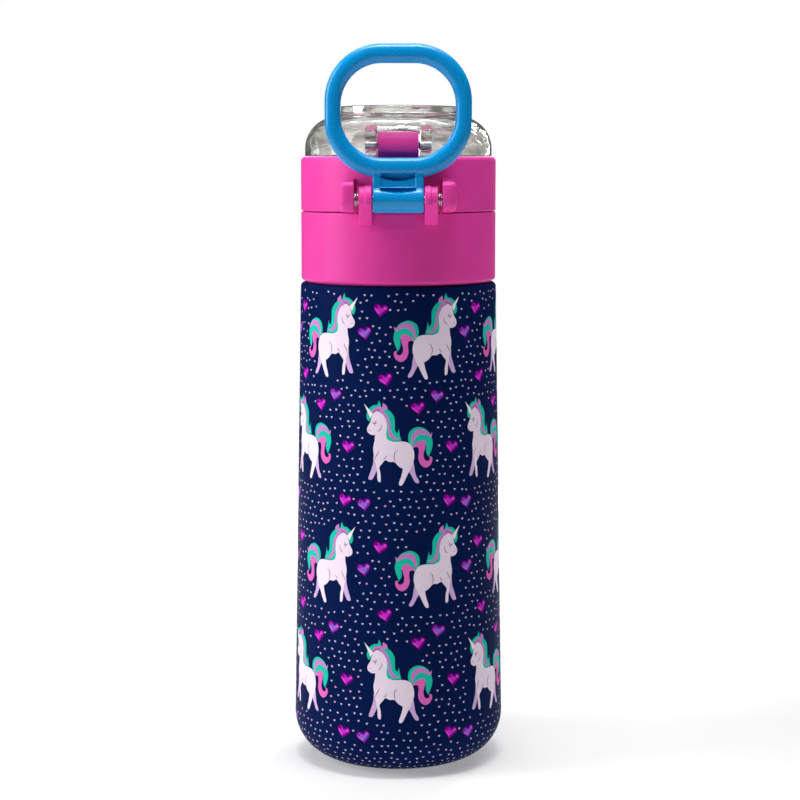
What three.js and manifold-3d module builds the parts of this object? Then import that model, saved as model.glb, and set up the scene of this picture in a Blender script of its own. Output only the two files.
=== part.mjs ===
// Insulated bottle for children: a double-wall steel bottle with a screw collar, a flip lid held by a push
// button, a clear snap dome over the spout and a carry loop that swings on the lid's hinge pin.
// Millimetres, +Z up. The origin is on the bottle's axis in the plane it stands on. The hinges and the
// carry loop are on the -Y side and the push button is on the +Y side.
import * as THREE from 'three';
import { mergeVertices } from 'three/addons/utils/BufferGeometryUtils.js';
import Module from 'manifold-3d';

const wasm = await Module();
wasm.setup();

// Bottle: a shell that tapers to the top, with a liner hung in it from the neck.
const SHELL_LOW_R = 38.4;
const SHELL_TOP_R = 35.24;
const SHELL_TOP_Z = 174.3;
const SHELL_WALL = 0.6;
const SHELL_TOP_FILLET = 1.6;
const BASE_FILLET = 16.25;
const BASE_HOLE_R = 21.3;
const BASE_RIM_R = 24.5;
const BASE_RIM_LOW_Z = 1.7;
const BASE_TOP_Z = 2.6;
const LINER_WALL = 0.5;
const LINER_LOW_R = 33.4;
const LINER_TOP_R = 31.9;
const LINER_BASE_Z = 7;
const LINER_FILLET = 14;
const LINER_SHOULDER_Z = 163;
const NECK_R = 29;
const NECK_FOOT_Z = 170;
const NECK_TOP_Z = 194;

// Screw thread between the neck and the collar: one start, right-handed.
const THREAD_PITCH = 4;
const THREAD_TURNS = 1.25;
const THREAD_HEIGHT = 1.1;
const THREAD_LOW_Z = 180;

// Collar and lid: two rings of one diameter with a seam between them.
const LID_R = 35;
const COLLAR_LOW_Z = 174.9;
const COLLAR_TOP_Z = 199.6;
const COLLAR_BORE_R = 31;
const COLLAR_RIM_R = 32.4;
const MOUTH_R = 25;
const MOUTH_LOW_Z = 195.4;
const MOUTH_TOP_Z = 197.4;
const COLLAR_FILLET = 1.6;
const SEAM_FILLET = 0.6;
const CATCH_HALF_X = 6;
const CATCH_IN_Y = 31;
const CATCH_LOW_Z = 198.6;
const CATCH_TOP_Z = 199.5;
const LID_LOW_Z = 199.9;
const LID_TOP_Z = 219;
const LID_FILLET = 1.4;
const LID_INSIDE_R = 32.6;
const DECK_TOP_Z = 217.6;
const DECK_THICK = 2;
const DECK_EDGE_R = 31;
const SPOUT_HOLE_R = 10.2;
const SKIRT_R = 23.2;
const SKIRT_WALL = 1.7;
const SKIRT_LOW_Z = 195.5;
const FLANGE_R = 28.5;
const FLANGE_LOW_Z = 213.3;
const FLANGE_TOP_Z = 215.3;

// Spout and the vent beside it.
const SPOUT_R = 8.2;
const SPOUT_BORE_R = 6.6;
const SPOUT_TOP_Z = 228.6;
const SPOUT_FOOT_R = 12;
const SPOUT_LIP_R = 0.7;
const VENT_X = 15;
const VENT_HOLE_R = 2.3;

// Main hinge: the lid, the collar and the carry loop share one pin.
const HINGE_Y = -39.9;
const HINGE_Z = 204.3;
const HINGE_PIN_R = 1.5;
const HINGE_PIN_HALF = 18.4;
const EAR_IN_X = 9;
const EAR_OUT_X = 13.5;
const EAR_R = 4.6;
const LOBE_IN_X = 15.1;
const LOBE_OUT_X = 19.9;
const LOBE_R = 4.3;
const SPRING_COIL_R = 2.4;
const SPRING_WIRE_R = 0.25;
const SPRING_SIDE_GAP = 0.3;

// Dome and its hinge.
const DOME_PIN_Y = -33;
const DOME_PIN_Z = 222.9;
const DOME_PIN_R = 1.2;
const DOME_PIN_HALF = 11.1;
const BARREL_R = 4.6;
const BARREL_HALF = 7.05;
const DOME_EAR_IN_X = 7.4;
const DOME_EAR_OUT_X = 11.4;
const DOME_R = 33.5;
const DOME_WALL = 2;
const DOME_LOW_Z = 219.3;
const DOME_SHOULDER_Z = 233.3;
const DOME_TOP_Z = 236.9;
const DOME_DISC_R = 21.7;
const DOME_FILLET = 11.4;
const TAB_HALF_X = 7;

// Push button in the front of the lid.
const BUTTON_Z = 207.5;
const BUTTON_HALF_X = 6.2;
const BUTTON_HALF_Z = 3.5;
const BUTTON_FACE_R = 36.6;
const BUTTON_BACK_Y = 29.6;
const BUTTON_COIL_R = 2.6;
const WINDOW_GAP = 0.4;

// Carry loop: a rounded square ring on a short neck.
const LOOP_Y = -40.1;
const LOOP_THICK = 5;
const LOOP_OUTER = { halfWidth: 25, lowZ: 211.9, highZ: 256.9, cornerR: 19.3 };
const LOOP_INNER = { halfWidth: 19.5, lowZ: 218.6, highZ: 250.3, cornerR: 14 };
const LOOP_BEVEL = 0.9;
const LOOP_NECK_HALF = 8.7;
const LOOP_NECK_THICK = 4;
const LOOP_SLOT_DEEP = 1.2;

// Room for turning and sliding, and the fineness of round surfaces.
const RUNNING_GAP = 0.06;
const GAP = 0.3;
const EDGE_R = 0.4;
const ROUND = 40;
const SMALL_ROUND = 28;
const PIN_ROUND = 16;

const FULL_TURN = 2 * Math.PI;
const QUARTER = Math.PI / 2;

// Solids.

// A closed mesh as a solid: doubled vertices are merged, triangles without area are dropped, and a mesh
// that came out inside out is turned.
function solid(geometry) {
  const plain = geometry.clone();
  plain.deleteAttribute('normal');
  plain.deleteAttribute('uv');
  const merged = mergeVertices(plain, 1e-4);
  const points = merged.attributes.position.array;
  const corner = [new THREE.Vector3(), new THREE.Vector3(), new THREE.Vector3()];
  const triangles = [];
  let volume = 0;
  for (let i = 0; i < merged.index.count; i += 3) {
    const [a, b, c] = [0, 1, 2].map((k) => merged.index.getX(i + k));
    if (a !== b && b !== c && c !== a) {
      triangles.push([a, b, c]);
      [a, b, c].forEach((v, k) => corner[k].fromArray(points, 3 * v));
      volume += corner[0].dot(corner[1].clone().cross(corner[2]));
    }
  }
  const facing = volume > 0 ? triangles : triangles.map(([a, b, c]) => [a, c, b]);
  return new wasm.Manifold(new wasm.Mesh({
    numProp: 3,
    vertProperties: Float32Array.from(points),
    triVerts: Uint32Array.from(facing.flat()),
  }));
}

function union(first, ...others) {
  return others.reduce((sum, other) => sum.add(other), first);
}

function cut(body, ...tools) {
  return tools.reduce((rest, tool) => rest.subtract(tool), body);
}

// An outline from [x, y, fillet radius] corners. A round corner is an arc with a chord for each 3 mm of radius.
function filleted(corners) {
  const at = corners.map(([x, y]) => new THREE.Vector2(x, y));
  return corners.flatMap(([, , radius = 0], i) => {
    if (radius === 0) return [at[i]];
    const before = at[(i + at.length - 1) % at.length].clone().sub(at[i]).normalize();
    const after = at[(i + 1) % at.length].clone().sub(at[i]).normalize();
    const half = Math.acos(before.dot(after)) / 2;
    const centre = before.clone().add(after).setLength(radius / Math.sin(half)).add(at[i]);
    const start = at[i].clone().addScaledVector(before, radius / Math.tan(half)).sub(centre);
    const end = at[i].clone().addScaledVector(after, radius / Math.tan(half)).sub(centre);
    const turn = Math.atan2(start.cross(end), start.dot(end));
    const steps = Math.ceil(radius / 3);
    return Array.from({ length: steps + 1 }, (_, k) => (
      start.clone().rotateAround(new THREE.Vector2(), (turn * k) / steps).add(centre)));
  });
}

// A closed ring, or a body that starts and ends on the axis, from an outline in radius and height.
function turned(outline, segments = ROUND) {
  const points = outline[0].x === 0 ? outline : [...outline, outline[0]];
  return solid(new THREE.LatheGeometry(points, segments).rotateX(QUARTER));
}

// A plain disc or bar about a line parallel to X.
function barAlongX(radius, fromX, toX, y, z, segments = PIN_ROUND) {
  const bar = new THREE.CylinderGeometry(radius, radius, toX - fromX, segments).rotateZ(QUARTER);
  return solid(bar.translate((fromX + toX) / 2, y, z));
}

// A bore's many-sided wall has to clear the pin at its flats.
function boreAlongX(pinRadius, half, y, z) {
  const radius = (pinRadius + RUNNING_GAP) / Math.cos(Math.PI / PIN_ROUND);
  return barAlongX(radius, -half, half, y, z);
}

function boreAlongZ(radius, x, lowZ, highZ) {
  const bar = new THREE.CylinderGeometry(radius, radius, highZ - lowZ, PIN_ROUND).rotateX(QUARTER);
  return solid(bar.translate(x, 0, (lowZ + highZ) / 2));
}

function block(fromX, toX, fromY, toY, fromZ, toZ) {
  const box = new THREE.BoxGeometry(toX - fromX, toY - fromY, toZ - fromZ);
  return solid(box.translate((fromX + toX) / 2, (fromY + toY) / 2, (fromZ + toZ) / 2));
}

// A plate whose outline is drawn in Y and Z, between two places on X.
function plateAcrossX(shape, fromX, toX) {
  const plate = new THREE.ExtrudeGeometry(shape, { depth: toX - fromX, bevelEnabled: false, curveSegments: 8 });
  const axes = new THREE.Matrix4().makeBasis(
    new THREE.Vector3(0, 1, 0), new THREE.Vector3(0, 0, 1), new THREE.Vector3(1, 0, 0));
  return solid(plate.applyMatrix4(axes).translate(fromX, 0, 0));
}

// The same plate on both sides of the hinge.
function platePair(shape, innerX, outerX) {
  return [plateAcrossX(shape, innerX, outerX), plateAcrossX(shape, -outerX, -innerX)];
}

function wireAlong(curve, radius, steps) {
  const section = new THREE.Shape().absarc(0, 0, radius, 0, FULL_TURN, false);
  return solid(new THREE.ExtrudeGeometry(section, {
    extrudePath: curve, steps, curveSegments: 3, bevelEnabled: false,
  }));
}

// A screw thread: a straight trapezium bar bent round the axis while it climbs one pitch a turn. It runs
// out to nothing at both ends. A negative side stands inwards from its wall.
function thread(wallRadius, side, lowZ) {
  const foot = 0.5;
  const rootHalf = 1.0;
  const crestHalf = 0.45;
  const runOut = 0.12;
  const section = new THREE.Shape([
    new THREE.Vector2(-foot, -rootHalf), new THREE.Vector2(THREAD_HEIGHT, -crestHalf),
    new THREE.Vector2(THREAD_HEIGHT, crestHalf), new THREE.Vector2(-foot, rootHalf),
  ]);
  const steps = Math.round(ROUND * THREAD_TURNS);
  const bar = new THREE.ExtrudeGeometry(section, { depth: 1, steps, bevelEnabled: false });
  const place = bar.attributes.position;
  for (let i = 0; i < place.count; i += 1) {
    const along = place.getZ(i);
    const height = Math.min(1, 0.1 + along / runOut, 0.1 + (1 - along) / runOut);
    const out = place.getX(i);
    const radius = wallRadius + side * (out > 0 ? out * height : out);
    const angle = along * THREAD_TURNS * FULL_TURN;
    const z = lowZ + place.getY(i) + along * THREAD_TURNS * THREAD_PITCH;
    place.setXYZ(i, radius * Math.cos(angle), radius * Math.sin(angle), z);
  }
  return solid(bar);
}

function roundedSquare({ halfWidth, lowZ, highZ, cornerR }) {
  return filleted([
    [-halfWidth, lowZ, cornerR], [halfWidth, lowZ, cornerR], [halfWidth, highZ, cornerR],
    [-halfWidth, highZ, cornerR],
  ]);
}

// Bottle.

// The outer shell is drawn steel, turned in to a flat ring at the base and to the neck at the top.
function outerShell() {
  const inside = SHELL_TOP_Z - SHELL_WALL;
  const neckClearR = NECK_R + GAP + 0.1;
  const outer = [
    ...filleted([[BASE_HOLE_R, 0], [SHELL_LOW_R, 0, BASE_FILLET], [SHELL_TOP_R, SHELL_TOP_Z]]).slice(0, -1),
    ...filleted([
      [SHELL_LOW_R, 0], [SHELL_TOP_R, SHELL_TOP_Z, SHELL_TOP_FILLET], [neckClearR, SHELL_TOP_Z],
    ]).slice(1),
  ];
  const inner = [
    ...filleted([[BASE_HOLE_R, SHELL_WALL], [SHELL_LOW_R - SHELL_WALL, SHELL_WALL, BASE_FILLET - SHELL_WALL],
      [SHELL_TOP_R - SHELL_WALL, inside]]),
    new THREE.Vector2(neckClearR, inside),
  ];
  return turned([...outer, ...inner.reverse()]);
}

// The liner holds the drink. Its neck carries the screw thread.
function innerLiner() {
  const wall = LINER_WALL;
  const fillet = LINER_FILLET;
  const outer = filleted([
    [0, LINER_BASE_Z], [LINER_LOW_R, LINER_BASE_Z, fillet], [LINER_TOP_R, LINER_SHOULDER_Z],
    [NECK_R, NECK_FOOT_Z], [NECK_R, NECK_TOP_Z],
  ]);
  const inner = filleted([
    [0, LINER_BASE_Z + wall], [LINER_LOW_R - wall, LINER_BASE_Z + wall, fillet - wall],
    [LINER_TOP_R - wall, LINER_SHOULDER_Z - wall / 2], [NECK_R - wall, NECK_FOOT_Z - wall / 2],
    [NECK_R - wall, NECK_TOP_Z],
  ]);
  return turned([...outer, ...inner.reverse()]).add(thread(NECK_R, 1, THREAD_LOW_Z));
}

// The base plate closes the shell and is what the bottle stands on. Its rim lies behind the shell's edge.
function basePlate() {
  const radius = BASE_HOLE_R - GAP;
  return turned(filleted([
    [0, 0], [radius, 0, EDGE_R], [radius, BASE_RIM_LOW_Z], [BASE_RIM_R, BASE_RIM_LOW_Z],
    [BASE_RIM_R, BASE_TOP_Z], [0, BASE_TOP_Z],
  ]));
}

function vacuumSeal() {
  const radius = 3;
  const lowZ = BASE_TOP_Z + GAP;
  const topZ = lowZ + 1.4;
  return turned(filleted([[0, lowZ], [radius, lowZ], [radius, topZ, 2 * EDGE_R], [0, topZ]]), PIN_ROUND);
}

// Collar.

function neckGasket() {
  const inner = NECK_R - 3;
  const outer = COLLAR_BORE_R - EDGE_R;
  const lowZ = NECK_TOP_Z + GAP;
  const topZ = MOUTH_LOW_Z - GAP;
  return turned(filleted([[inner, lowZ], [outer, lowZ], [outer, topZ], [inner, topZ]]));
}

// Each ear rises from the collar round the hinge pin, inside the circle that the lid's wall swings past.
function earShape() {
  const rootY = -31.5;
  const roundFrom = -0.9;
  const roundTo = Math.PI + 0.2;
  const legOut = [-38.3, 197.2];
  const legFoot = [-34.8, 194.6];
  return new THREE.Shape()
    .moveTo(rootY, COLLAR_TOP_Z - GAP)
    .lineTo(HINGE_Y + EAR_R * Math.cos(roundFrom), COLLAR_TOP_Z - GAP)
    .absarc(HINGE_Y, HINGE_Z, EAR_R, roundFrom, roundTo, false)
    .lineTo(...legOut)
    .lineTo(...legFoot)
    .lineTo(rootY, legFoot[1]);
}

// The collar screws on to the neck. Its mouth takes the lid's seal, and a ledge at the front of the mouth
// is the catch for the push button's hook.
function collar() {
  const ring = turned(filleted([
    [COLLAR_BORE_R, COLLAR_LOW_Z, EDGE_R], [LID_R, COLLAR_LOW_Z, COLLAR_FILLET],
    [LID_R, COLLAR_TOP_Z, SEAM_FILLET], [COLLAR_RIM_R, COLLAR_TOP_Z], [COLLAR_RIM_R, MOUTH_TOP_Z],
    [MOUTH_R, MOUTH_TOP_Z, EDGE_R], [MOUTH_R, MOUTH_LOW_Z], [COLLAR_BORE_R, MOUTH_LOW_Z],
  ]));
  const catchLedge = block(
    -CATCH_HALF_X, CATCH_HALF_X, CATCH_IN_Y, COLLAR_RIM_R + 1, CATCH_LOW_Z, CATCH_TOP_Z);
  const body = union(
    ring, thread(COLLAR_BORE_R, -1, THREAD_LOW_Z - THREAD_PITCH / 2), catchLedge,
    ...platePair(earShape(), EAR_IN_X, EAR_OUT_X));
  return cut(body, boreAlongX(HINGE_PIN_R, HINGE_PIN_HALF + GAP, HINGE_Y, HINGE_Z));
}

// A torsion spring: one and a half turns round the pin, with a leg to the lid and a leg to the collar.
function hingeSpring(side) {
  const turns = 1.5;
  const coilSteps = 18;
  const wireSteps = 36;
  const startX = EAR_OUT_X + SPRING_SIDE_GAP;
  const endX = LOBE_IN_X - SPRING_SIDE_GAP;
  const coil = Array.from({ length: coilSteps + 1 }, (_, i) => {
    const along = i / coilSteps;
    const angle = QUARTER + FULL_TURN * turns * along;
    return new THREE.Vector3(
      side * (startX + (endX - startX) * along),
      HINGE_Y + SPRING_COIL_R * Math.cos(angle),
      HINGE_Z + SPRING_COIL_R * Math.sin(angle));
  });
  const legEndY = -34.4;
  const legRise = 4.7;
  const lidLeg = new THREE.Vector3(side * startX, legEndY, HINGE_Z + legRise);
  const collarLeg = new THREE.Vector3(side * endX, legEndY, HINGE_Z - legRise);
  const curve = new THREE.CatmullRomCurve3([lidLeg, ...coil, collarLeg]);
  return wireAlong(curve, SPRING_WIRE_R, wireSteps);
}

// Lid.

// Each lobe joins the lid's wall to the hinge pin outside the collar's ears.
function lobeShape() {
  const rootY = -27.5;
  const topZ = 211.5;
  const backY = HINGE_Y - LOBE_R;
  const cornerR = 3;
  return new THREE.Shape()
    .moveTo(rootY, HINGE_Z - LOBE_R)
    .lineTo(HINGE_Y, HINGE_Z - LOBE_R)
    .absarc(HINGE_Y, HINGE_Z, LOBE_R, -QUARTER, -Math.PI, true)
    .lineTo(backY, topZ - cornerR)
    .quadraticCurveTo(backY, topZ, backY + cornerR, topZ)
    .lineTo(rootY, topZ);
}

function barrelShape() {
  const footFrontY = -29;
  const footBackY = -34.2;
  const footZ = DECK_TOP_Z - 1;
  return new THREE.Shape()
    .moveTo(footFrontY, footZ)
    .lineTo(footFrontY, DOME_PIN_Z)
    .lineTo(DOME_PIN_Y + BARREL_R, DOME_PIN_Z)
    .absarc(DOME_PIN_Y, DOME_PIN_Z, BARREL_R, 0, Math.PI + 0.6, false)
    .lineTo(footBackY, DECK_TOP_Z)
    .lineTo(footBackY, footZ);
}

function lidRing() {
  const deckLow = DECK_TOP_Z - DECK_THICK;
  const ring = turned(filleted([
    [LID_INSIDE_R, LID_LOW_Z], [LID_R, LID_LOW_Z, SEAM_FILLET], [LID_R, LID_TOP_Z, LID_FILLET],
    [DECK_EDGE_R, LID_TOP_Z],
    [DECK_EDGE_R, DECK_TOP_Z], [SPOUT_HOLE_R, DECK_TOP_Z], [SPOUT_HOLE_R, deckLow], [LID_INSIDE_R, deckLow],
  ]));
  const body = union(
    ring, ...platePair(lobeShape(), LOBE_IN_X, LOBE_OUT_X),
    plateAcrossX(barrelShape(), -BARREL_HALF, BARREL_HALF));
  const windowX = BUTTON_HALF_X + WINDOW_GAP;
  const windowZ = BUTTON_HALF_Z + WINDOW_GAP;
  return cut(
    body,
    boreAlongX(HINGE_PIN_R, HINGE_PIN_HALF + GAP, HINGE_Y, HINGE_Z),
    boreAlongX(DOME_PIN_R, BARREL_HALF + 1, DOME_PIN_Y, DOME_PIN_Z),
    block(-windowX, windowX, SKIRT_R + 5, LID_R + 2, BUTTON_Z - windowZ, BUTTON_Z + windowZ),
    boreAlongZ(VENT_HOLE_R, VENT_X, deckLow - 1, DECK_TOP_Z + 1));
}

// The plug is the lid's inner moulding: a flange under the deck and a skirt that reaches into the mouth.
function lidPlug() {
  const holeR = SPOUT_FOOT_R + GAP;
  const inner = SKIRT_R - SKIRT_WALL;
  const lipR = SKIRT_R + 1;
  const lipZ = SKIRT_LOW_Z + 0.6;
  const body = turned(filleted([
    [holeR, FLANGE_LOW_Z], [inner, FLANGE_LOW_Z], [inner, SKIRT_LOW_Z], [lipR, SKIRT_LOW_Z], [lipR, lipZ],
    [SKIRT_R, lipZ], [SKIRT_R, FLANGE_LOW_Z], [FLANGE_R, FLANGE_LOW_Z], [FLANGE_R, FLANGE_TOP_Z],
    [holeR, FLANGE_TOP_Z],
  ]));
  return cut(body, boreAlongZ(VENT_HOLE_R, VENT_X, FLANGE_LOW_Z - 1, FLANGE_TOP_Z + 1));
}

// The seal has two soft lips that rub the collar's mouth.
function lidGasket() {
  const inner = SKIRT_R + GAP;
  const lip = MOUTH_R - GAP;
  const [root, waist] = [lip - 0.3, lip - 0.5];
  const lowZ = SKIRT_LOW_Z + 3 * GAP;
  const step = 0.6;
  return turned(filleted([
    [inner, lowZ], [root, lowZ], [lip, lowZ + step], [waist, lowZ + 2 * step], [lip, lowZ + 3 * step],
    [root, lowZ + 4 * step], [inner, lowZ + 4 * step],
  ]));
}

function spout() {
  return turned(filleted([
    [SPOUT_BORE_R, FLANGE_LOW_Z], [SPOUT_FOOT_R, FLANGE_LOW_Z], [SPOUT_FOOT_R, FLANGE_TOP_Z],
    [SPOUT_R, FLANGE_TOP_Z], [SPOUT_R, SPOUT_TOP_Z, SPOUT_LIP_R], [SPOUT_BORE_R, SPOUT_TOP_Z, SPOUT_LIP_R],
  ]), SMALL_ROUND);
}

function spoutGasket() {
  const [inner, outer] = [SPOUT_R + GAP, SPOUT_HOLE_R - GAP];
  const [lowZ, topZ] = [DECK_TOP_Z - DECK_THICK + GAP, DECK_TOP_Z - GAP];
  return turned(filleted([[inner, lowZ], [outer, lowZ], [outer, topZ], [inner, topZ]]), SMALL_ROUND);
}

function ventValve() {
  const bore = 0.5;
  const billR = 1.2;
  const stemR = VENT_HOLE_R - GAP;
  const capR = VENT_HOLE_R + 1;
  const lowZ = FLANGE_LOW_Z - 1.3;
  const capZ = DECK_TOP_Z + GAP;
  const topZ = capZ + 0.8;
  return turned(filleted([
    [bore, lowZ], [billR, lowZ], [stemR, lowZ + 1], [stemR, capZ], [capR, capZ], [capR, topZ, GAP],
    [bore, topZ],
  ]), PIN_ROUND).translate([VENT_X, 0, 0]);
}

// The button stands out of its window and is held from behind by a flange. Its arm hooks under the
// collar's ledge.
function lidButton() {
  const faceRound = turned(filleted([
    [0, LID_LOW_Z], [BUTTON_FACE_R, LID_LOW_Z], [BUTTON_FACE_R, LID_TOP_Z], [0, LID_TOP_Z],
  ]), 2 * ROUND);
  const [flangeIn, flangeOut] = [BUTTON_BACK_Y, BUTTON_BACK_Y + 1.4];
  const [flangeX, flangeZ] = [BUTTON_HALF_X + 1.4, BUTTON_HALF_Z + 1.1];
  const armHalf = 4;
  const armLowZ = CATCH_LOW_Z - 0.8;
  const cap = block(
    -BUTTON_HALF_X, BUTTON_HALF_X, flangeOut - 0.5, BUTTON_FACE_R + 1,
    BUTTON_Z - BUTTON_HALF_Z, BUTTON_Z + BUTTON_HALF_Z);
  const flange = block(-flangeX, flangeX, flangeIn, flangeOut, BUTTON_Z - flangeZ, BUTTON_Z + flangeZ);
  const arm = block(-armHalf, armHalf, flangeIn - 0.4, flangeIn + 0.8, armLowZ, BUTTON_Z - 3);
  const hook = block(-armHalf, armHalf, flangeIn + 0.2, flangeIn + 1, armLowZ, armLowZ + 0.6);
  return union(cap.intersect(faceRound), flange, arm, hook);
}

function buttonSpring() {
  const turns = 4;
  const [backY, frontY] = [SKIRT_R + 0.75, BUTTON_BACK_Y - 0.6];
  const steps = 10 * turns;
  const points = Array.from({ length: steps + 1 }, (_, i) => {
    const angle = (FULL_TURN * turns * i) / steps;
    return new THREE.Vector3(
      BUTTON_COIL_R * Math.cos(angle), backY + ((frontY - backY) * i) / steps,
      BUTTON_Z + BUTTON_COIL_R * Math.sin(angle));
  });
  return wireAlong(new THREE.CatmullRomCurve3(points), SPRING_WIRE_R, steps);
}

// Dome.

function domeEarShape() {
  const earR = 3.5;
  const topZ = 229.6;
  const footY = -29.8;
  const headY = -28.2;
  return new THREE.Shape()
    .moveTo(footY, DOME_PIN_Z - earR)
    .lineTo(DOME_PIN_Y, DOME_PIN_Z - earR)
    .absarc(DOME_PIN_Y, DOME_PIN_Z, earR, -QUARTER, -Math.PI, true)
    .quadraticCurveTo(DOME_PIN_Y - earR, topZ - 1, DOME_PIN_Y + 1.5, topZ)
    .lineTo(headY, topZ);
}

// The snap tab hangs over the front of the lid, where a thumb lifts it.
function snapTabShape() {
  const innerY = LID_R + 0.4;
  const rootY = DOME_R - 1.3;
  const rootZ = DOME_LOW_Z + 0.2;
  const tipZ = 214.6;
  const lip = [innerY + 1.9, DOME_LOW_Z];
  const brow = [innerY + 1.2, DOME_LOW_Z + 2.5];
  return new THREE.Shape([
    [rootY, rootZ], [innerY, rootZ], [innerY, tipZ], [innerY + 1.3, tipZ], lip, brow, [rootY, brow[1] + 1],
  ].map(([y, z]) => new THREE.Vector2(y, z)));
}

function dome() {
  const under = DOME_TOP_Z - DOME_WALL - 0.2;
  const inside = DOME_R - DOME_WALL;
  const discInside = DOME_DISC_R - DOME_WALL;
  const [ringIn, ringOut, ringLow] = [8.8, 10.2, 228];
  const outer = filleted([
    [inside, DOME_LOW_Z], [DOME_R, DOME_LOW_Z], [DOME_R - 0.1, DOME_SHOULDER_Z, DOME_FILLET],
    [DOME_DISC_R, DOME_SHOULDER_Z], [DOME_DISC_R, DOME_TOP_Z, 2 * EDGE_R], [0, DOME_TOP_Z],
  ]);
  const inner = filleted([
    [inside, DOME_LOW_Z], [inside, DOME_SHOULDER_Z - DOME_WALL, DOME_FILLET - DOME_WALL],
    [discInside, DOME_SHOULDER_Z - DOME_WALL], [discInside, under], [ringOut, under], [ringOut, ringLow],
    [ringIn, ringLow], [ringIn, under], [0, under],
  ]).slice(1);
  const profile = [...outer, ...inner.reverse()];
  const first = profile.findIndex((point) => point.x === 0);
  const fromAxis = [...profile.slice(first + 1), ...profile.slice(0, first + 1)];
  const clearR = BARREL_R + 0.5;
  const body = cut(
    turned(fromAxis),
    barAlongX(clearR, -DOME_EAR_IN_X, DOME_EAR_IN_X, DOME_PIN_Y, DOME_PIN_Z, SMALL_ROUND),
    block(-DOME_EAR_IN_X, DOME_EAR_IN_X, -LID_R, DOME_PIN_Y + clearR, DOME_LOW_Z - 1, DOME_PIN_Z));
  const joined = union(
    body, ...platePair(domeEarShape(), DOME_EAR_IN_X, DOME_EAR_OUT_X),
    plateAcrossX(snapTabShape(), -TAB_HALF_X, TAB_HALF_X));
  return cut(joined, boreAlongX(DOME_PIN_R, DOME_PIN_HALF + GAP, DOME_PIN_Y, DOME_PIN_Z));
}

function spoutSeal() {
  const plugR = SPOUT_BORE_R - 0.7;
  const plugZ = SPOUT_TOP_Z - 0.8;
  const headR = SPOUT_R + 0.2;
  const headLowZ = SPOUT_TOP_Z + GAP;
  const headTopZ = headLowZ + 2.1;
  const stemR = 3;
  const topZ = DOME_TOP_Z - DOME_WALL - 0.5;
  return turned(filleted([
    [0, plugZ], [plugR - GAP, plugZ, EDGE_R], [plugR, headLowZ], [headR, headLowZ], [headR, headTopZ],
    [stemR, headTopZ], [stemR, topZ], [0, topZ],
  ]), SMALL_ROUND);
}

// Carry loop.

function carryLoop() {
  const shape = new THREE.Shape(roundedSquare(LOOP_OUTER));
  shape.holes.push(new THREE.Path(roundedSquare(LOOP_INNER).reverse()));
  const ring = new THREE.ExtrudeGeometry(shape, {
    depth: LOOP_THICK - 2 * LOOP_BEVEL, bevelThickness: LOOP_BEVEL, bevelSize: LOOP_BEVEL,
    bevelOffset: -LOOP_BEVEL, bevelSegments: 1,
  });
  const upright = new THREE.Matrix4().makeBasis(
    new THREE.Vector3(1, 0, 0), new THREE.Vector3(0, 0, 1), new THREE.Vector3(0, -1, 0));
  const ringY = LOOP_Y + LOOP_THICK / 2 - LOOP_BEVEL;
  const loop = solid(ring.applyMatrix4(upright).translate(0, ringY, 0));
  const backY = LOOP_Y - LOOP_NECK_THICK / 2;
  const frontY = LOOP_Y + LOOP_NECK_THICK / 2;
  const neck = block(-LOOP_NECK_HALF, LOOP_NECK_HALF, backY, frontY, HINGE_Z, LOOP_OUTER.lowZ + 3);
  const knuckleR = EAR_R - 0.1;
  const knuckle = barAlongX(knuckleR, -LOOP_NECK_HALF, LOOP_NECK_HALF, HINGE_Y, HINGE_Z, SMALL_ROUND);
  const slot = (half, lowZ, highZ) => block(-half, half, backY - 3, backY + LOOP_SLOT_DEEP, lowZ, highZ);
  return cut(
    union(loop, neck, knuckle),
    boreAlongX(HINGE_PIN_R, LOOP_NECK_HALF + 1, HINGE_Y, HINGE_Z),
    slot(5.8, 211.5, 213.3), slot(6.2, 206.4, 207.8));
}

// Assembly: each moving group is its own nested group.

function finish(colour, roughness, metalness = 0) {
  return new THREE.MeshStandardMaterial({ color: colour, roughness, metalness });
}

function piece(name, body, material) {
  const mesh = body.getMesh();
  const geometry = new THREE.BufferGeometry();
  geometry.setAttribute('position', new THREE.BufferAttribute(Float32Array.from(mesh.vertProperties), 3));
  geometry.setIndex(new THREE.BufferAttribute(Uint32Array.from(mesh.triVerts), 1));
  geometry.computeVertexNormals();
  const result = new THREE.Mesh(geometry, material);
  result.name = name;
  return result;
}

const NAVY_COAT = finish('#05143f', 0.45);
const STEEL = finish('#c4c6c8', 0.3, 1);
const SEAL_METAL = finish('#8d8f92', 0.5, 1);
const DARK_STEEL = finish('#3a3c3e', 0.3, 1);
const PINK_PLASTIC = finish('#e4359f', 0.42);
const BLUE_PLASTIC = finish('#0a8fd3', 0.4);
const CLEAR_PLASTIC = finish('#eef2f2', 0.08);
const SILICONE = finish('#f2f2ee', 0.6);

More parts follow.
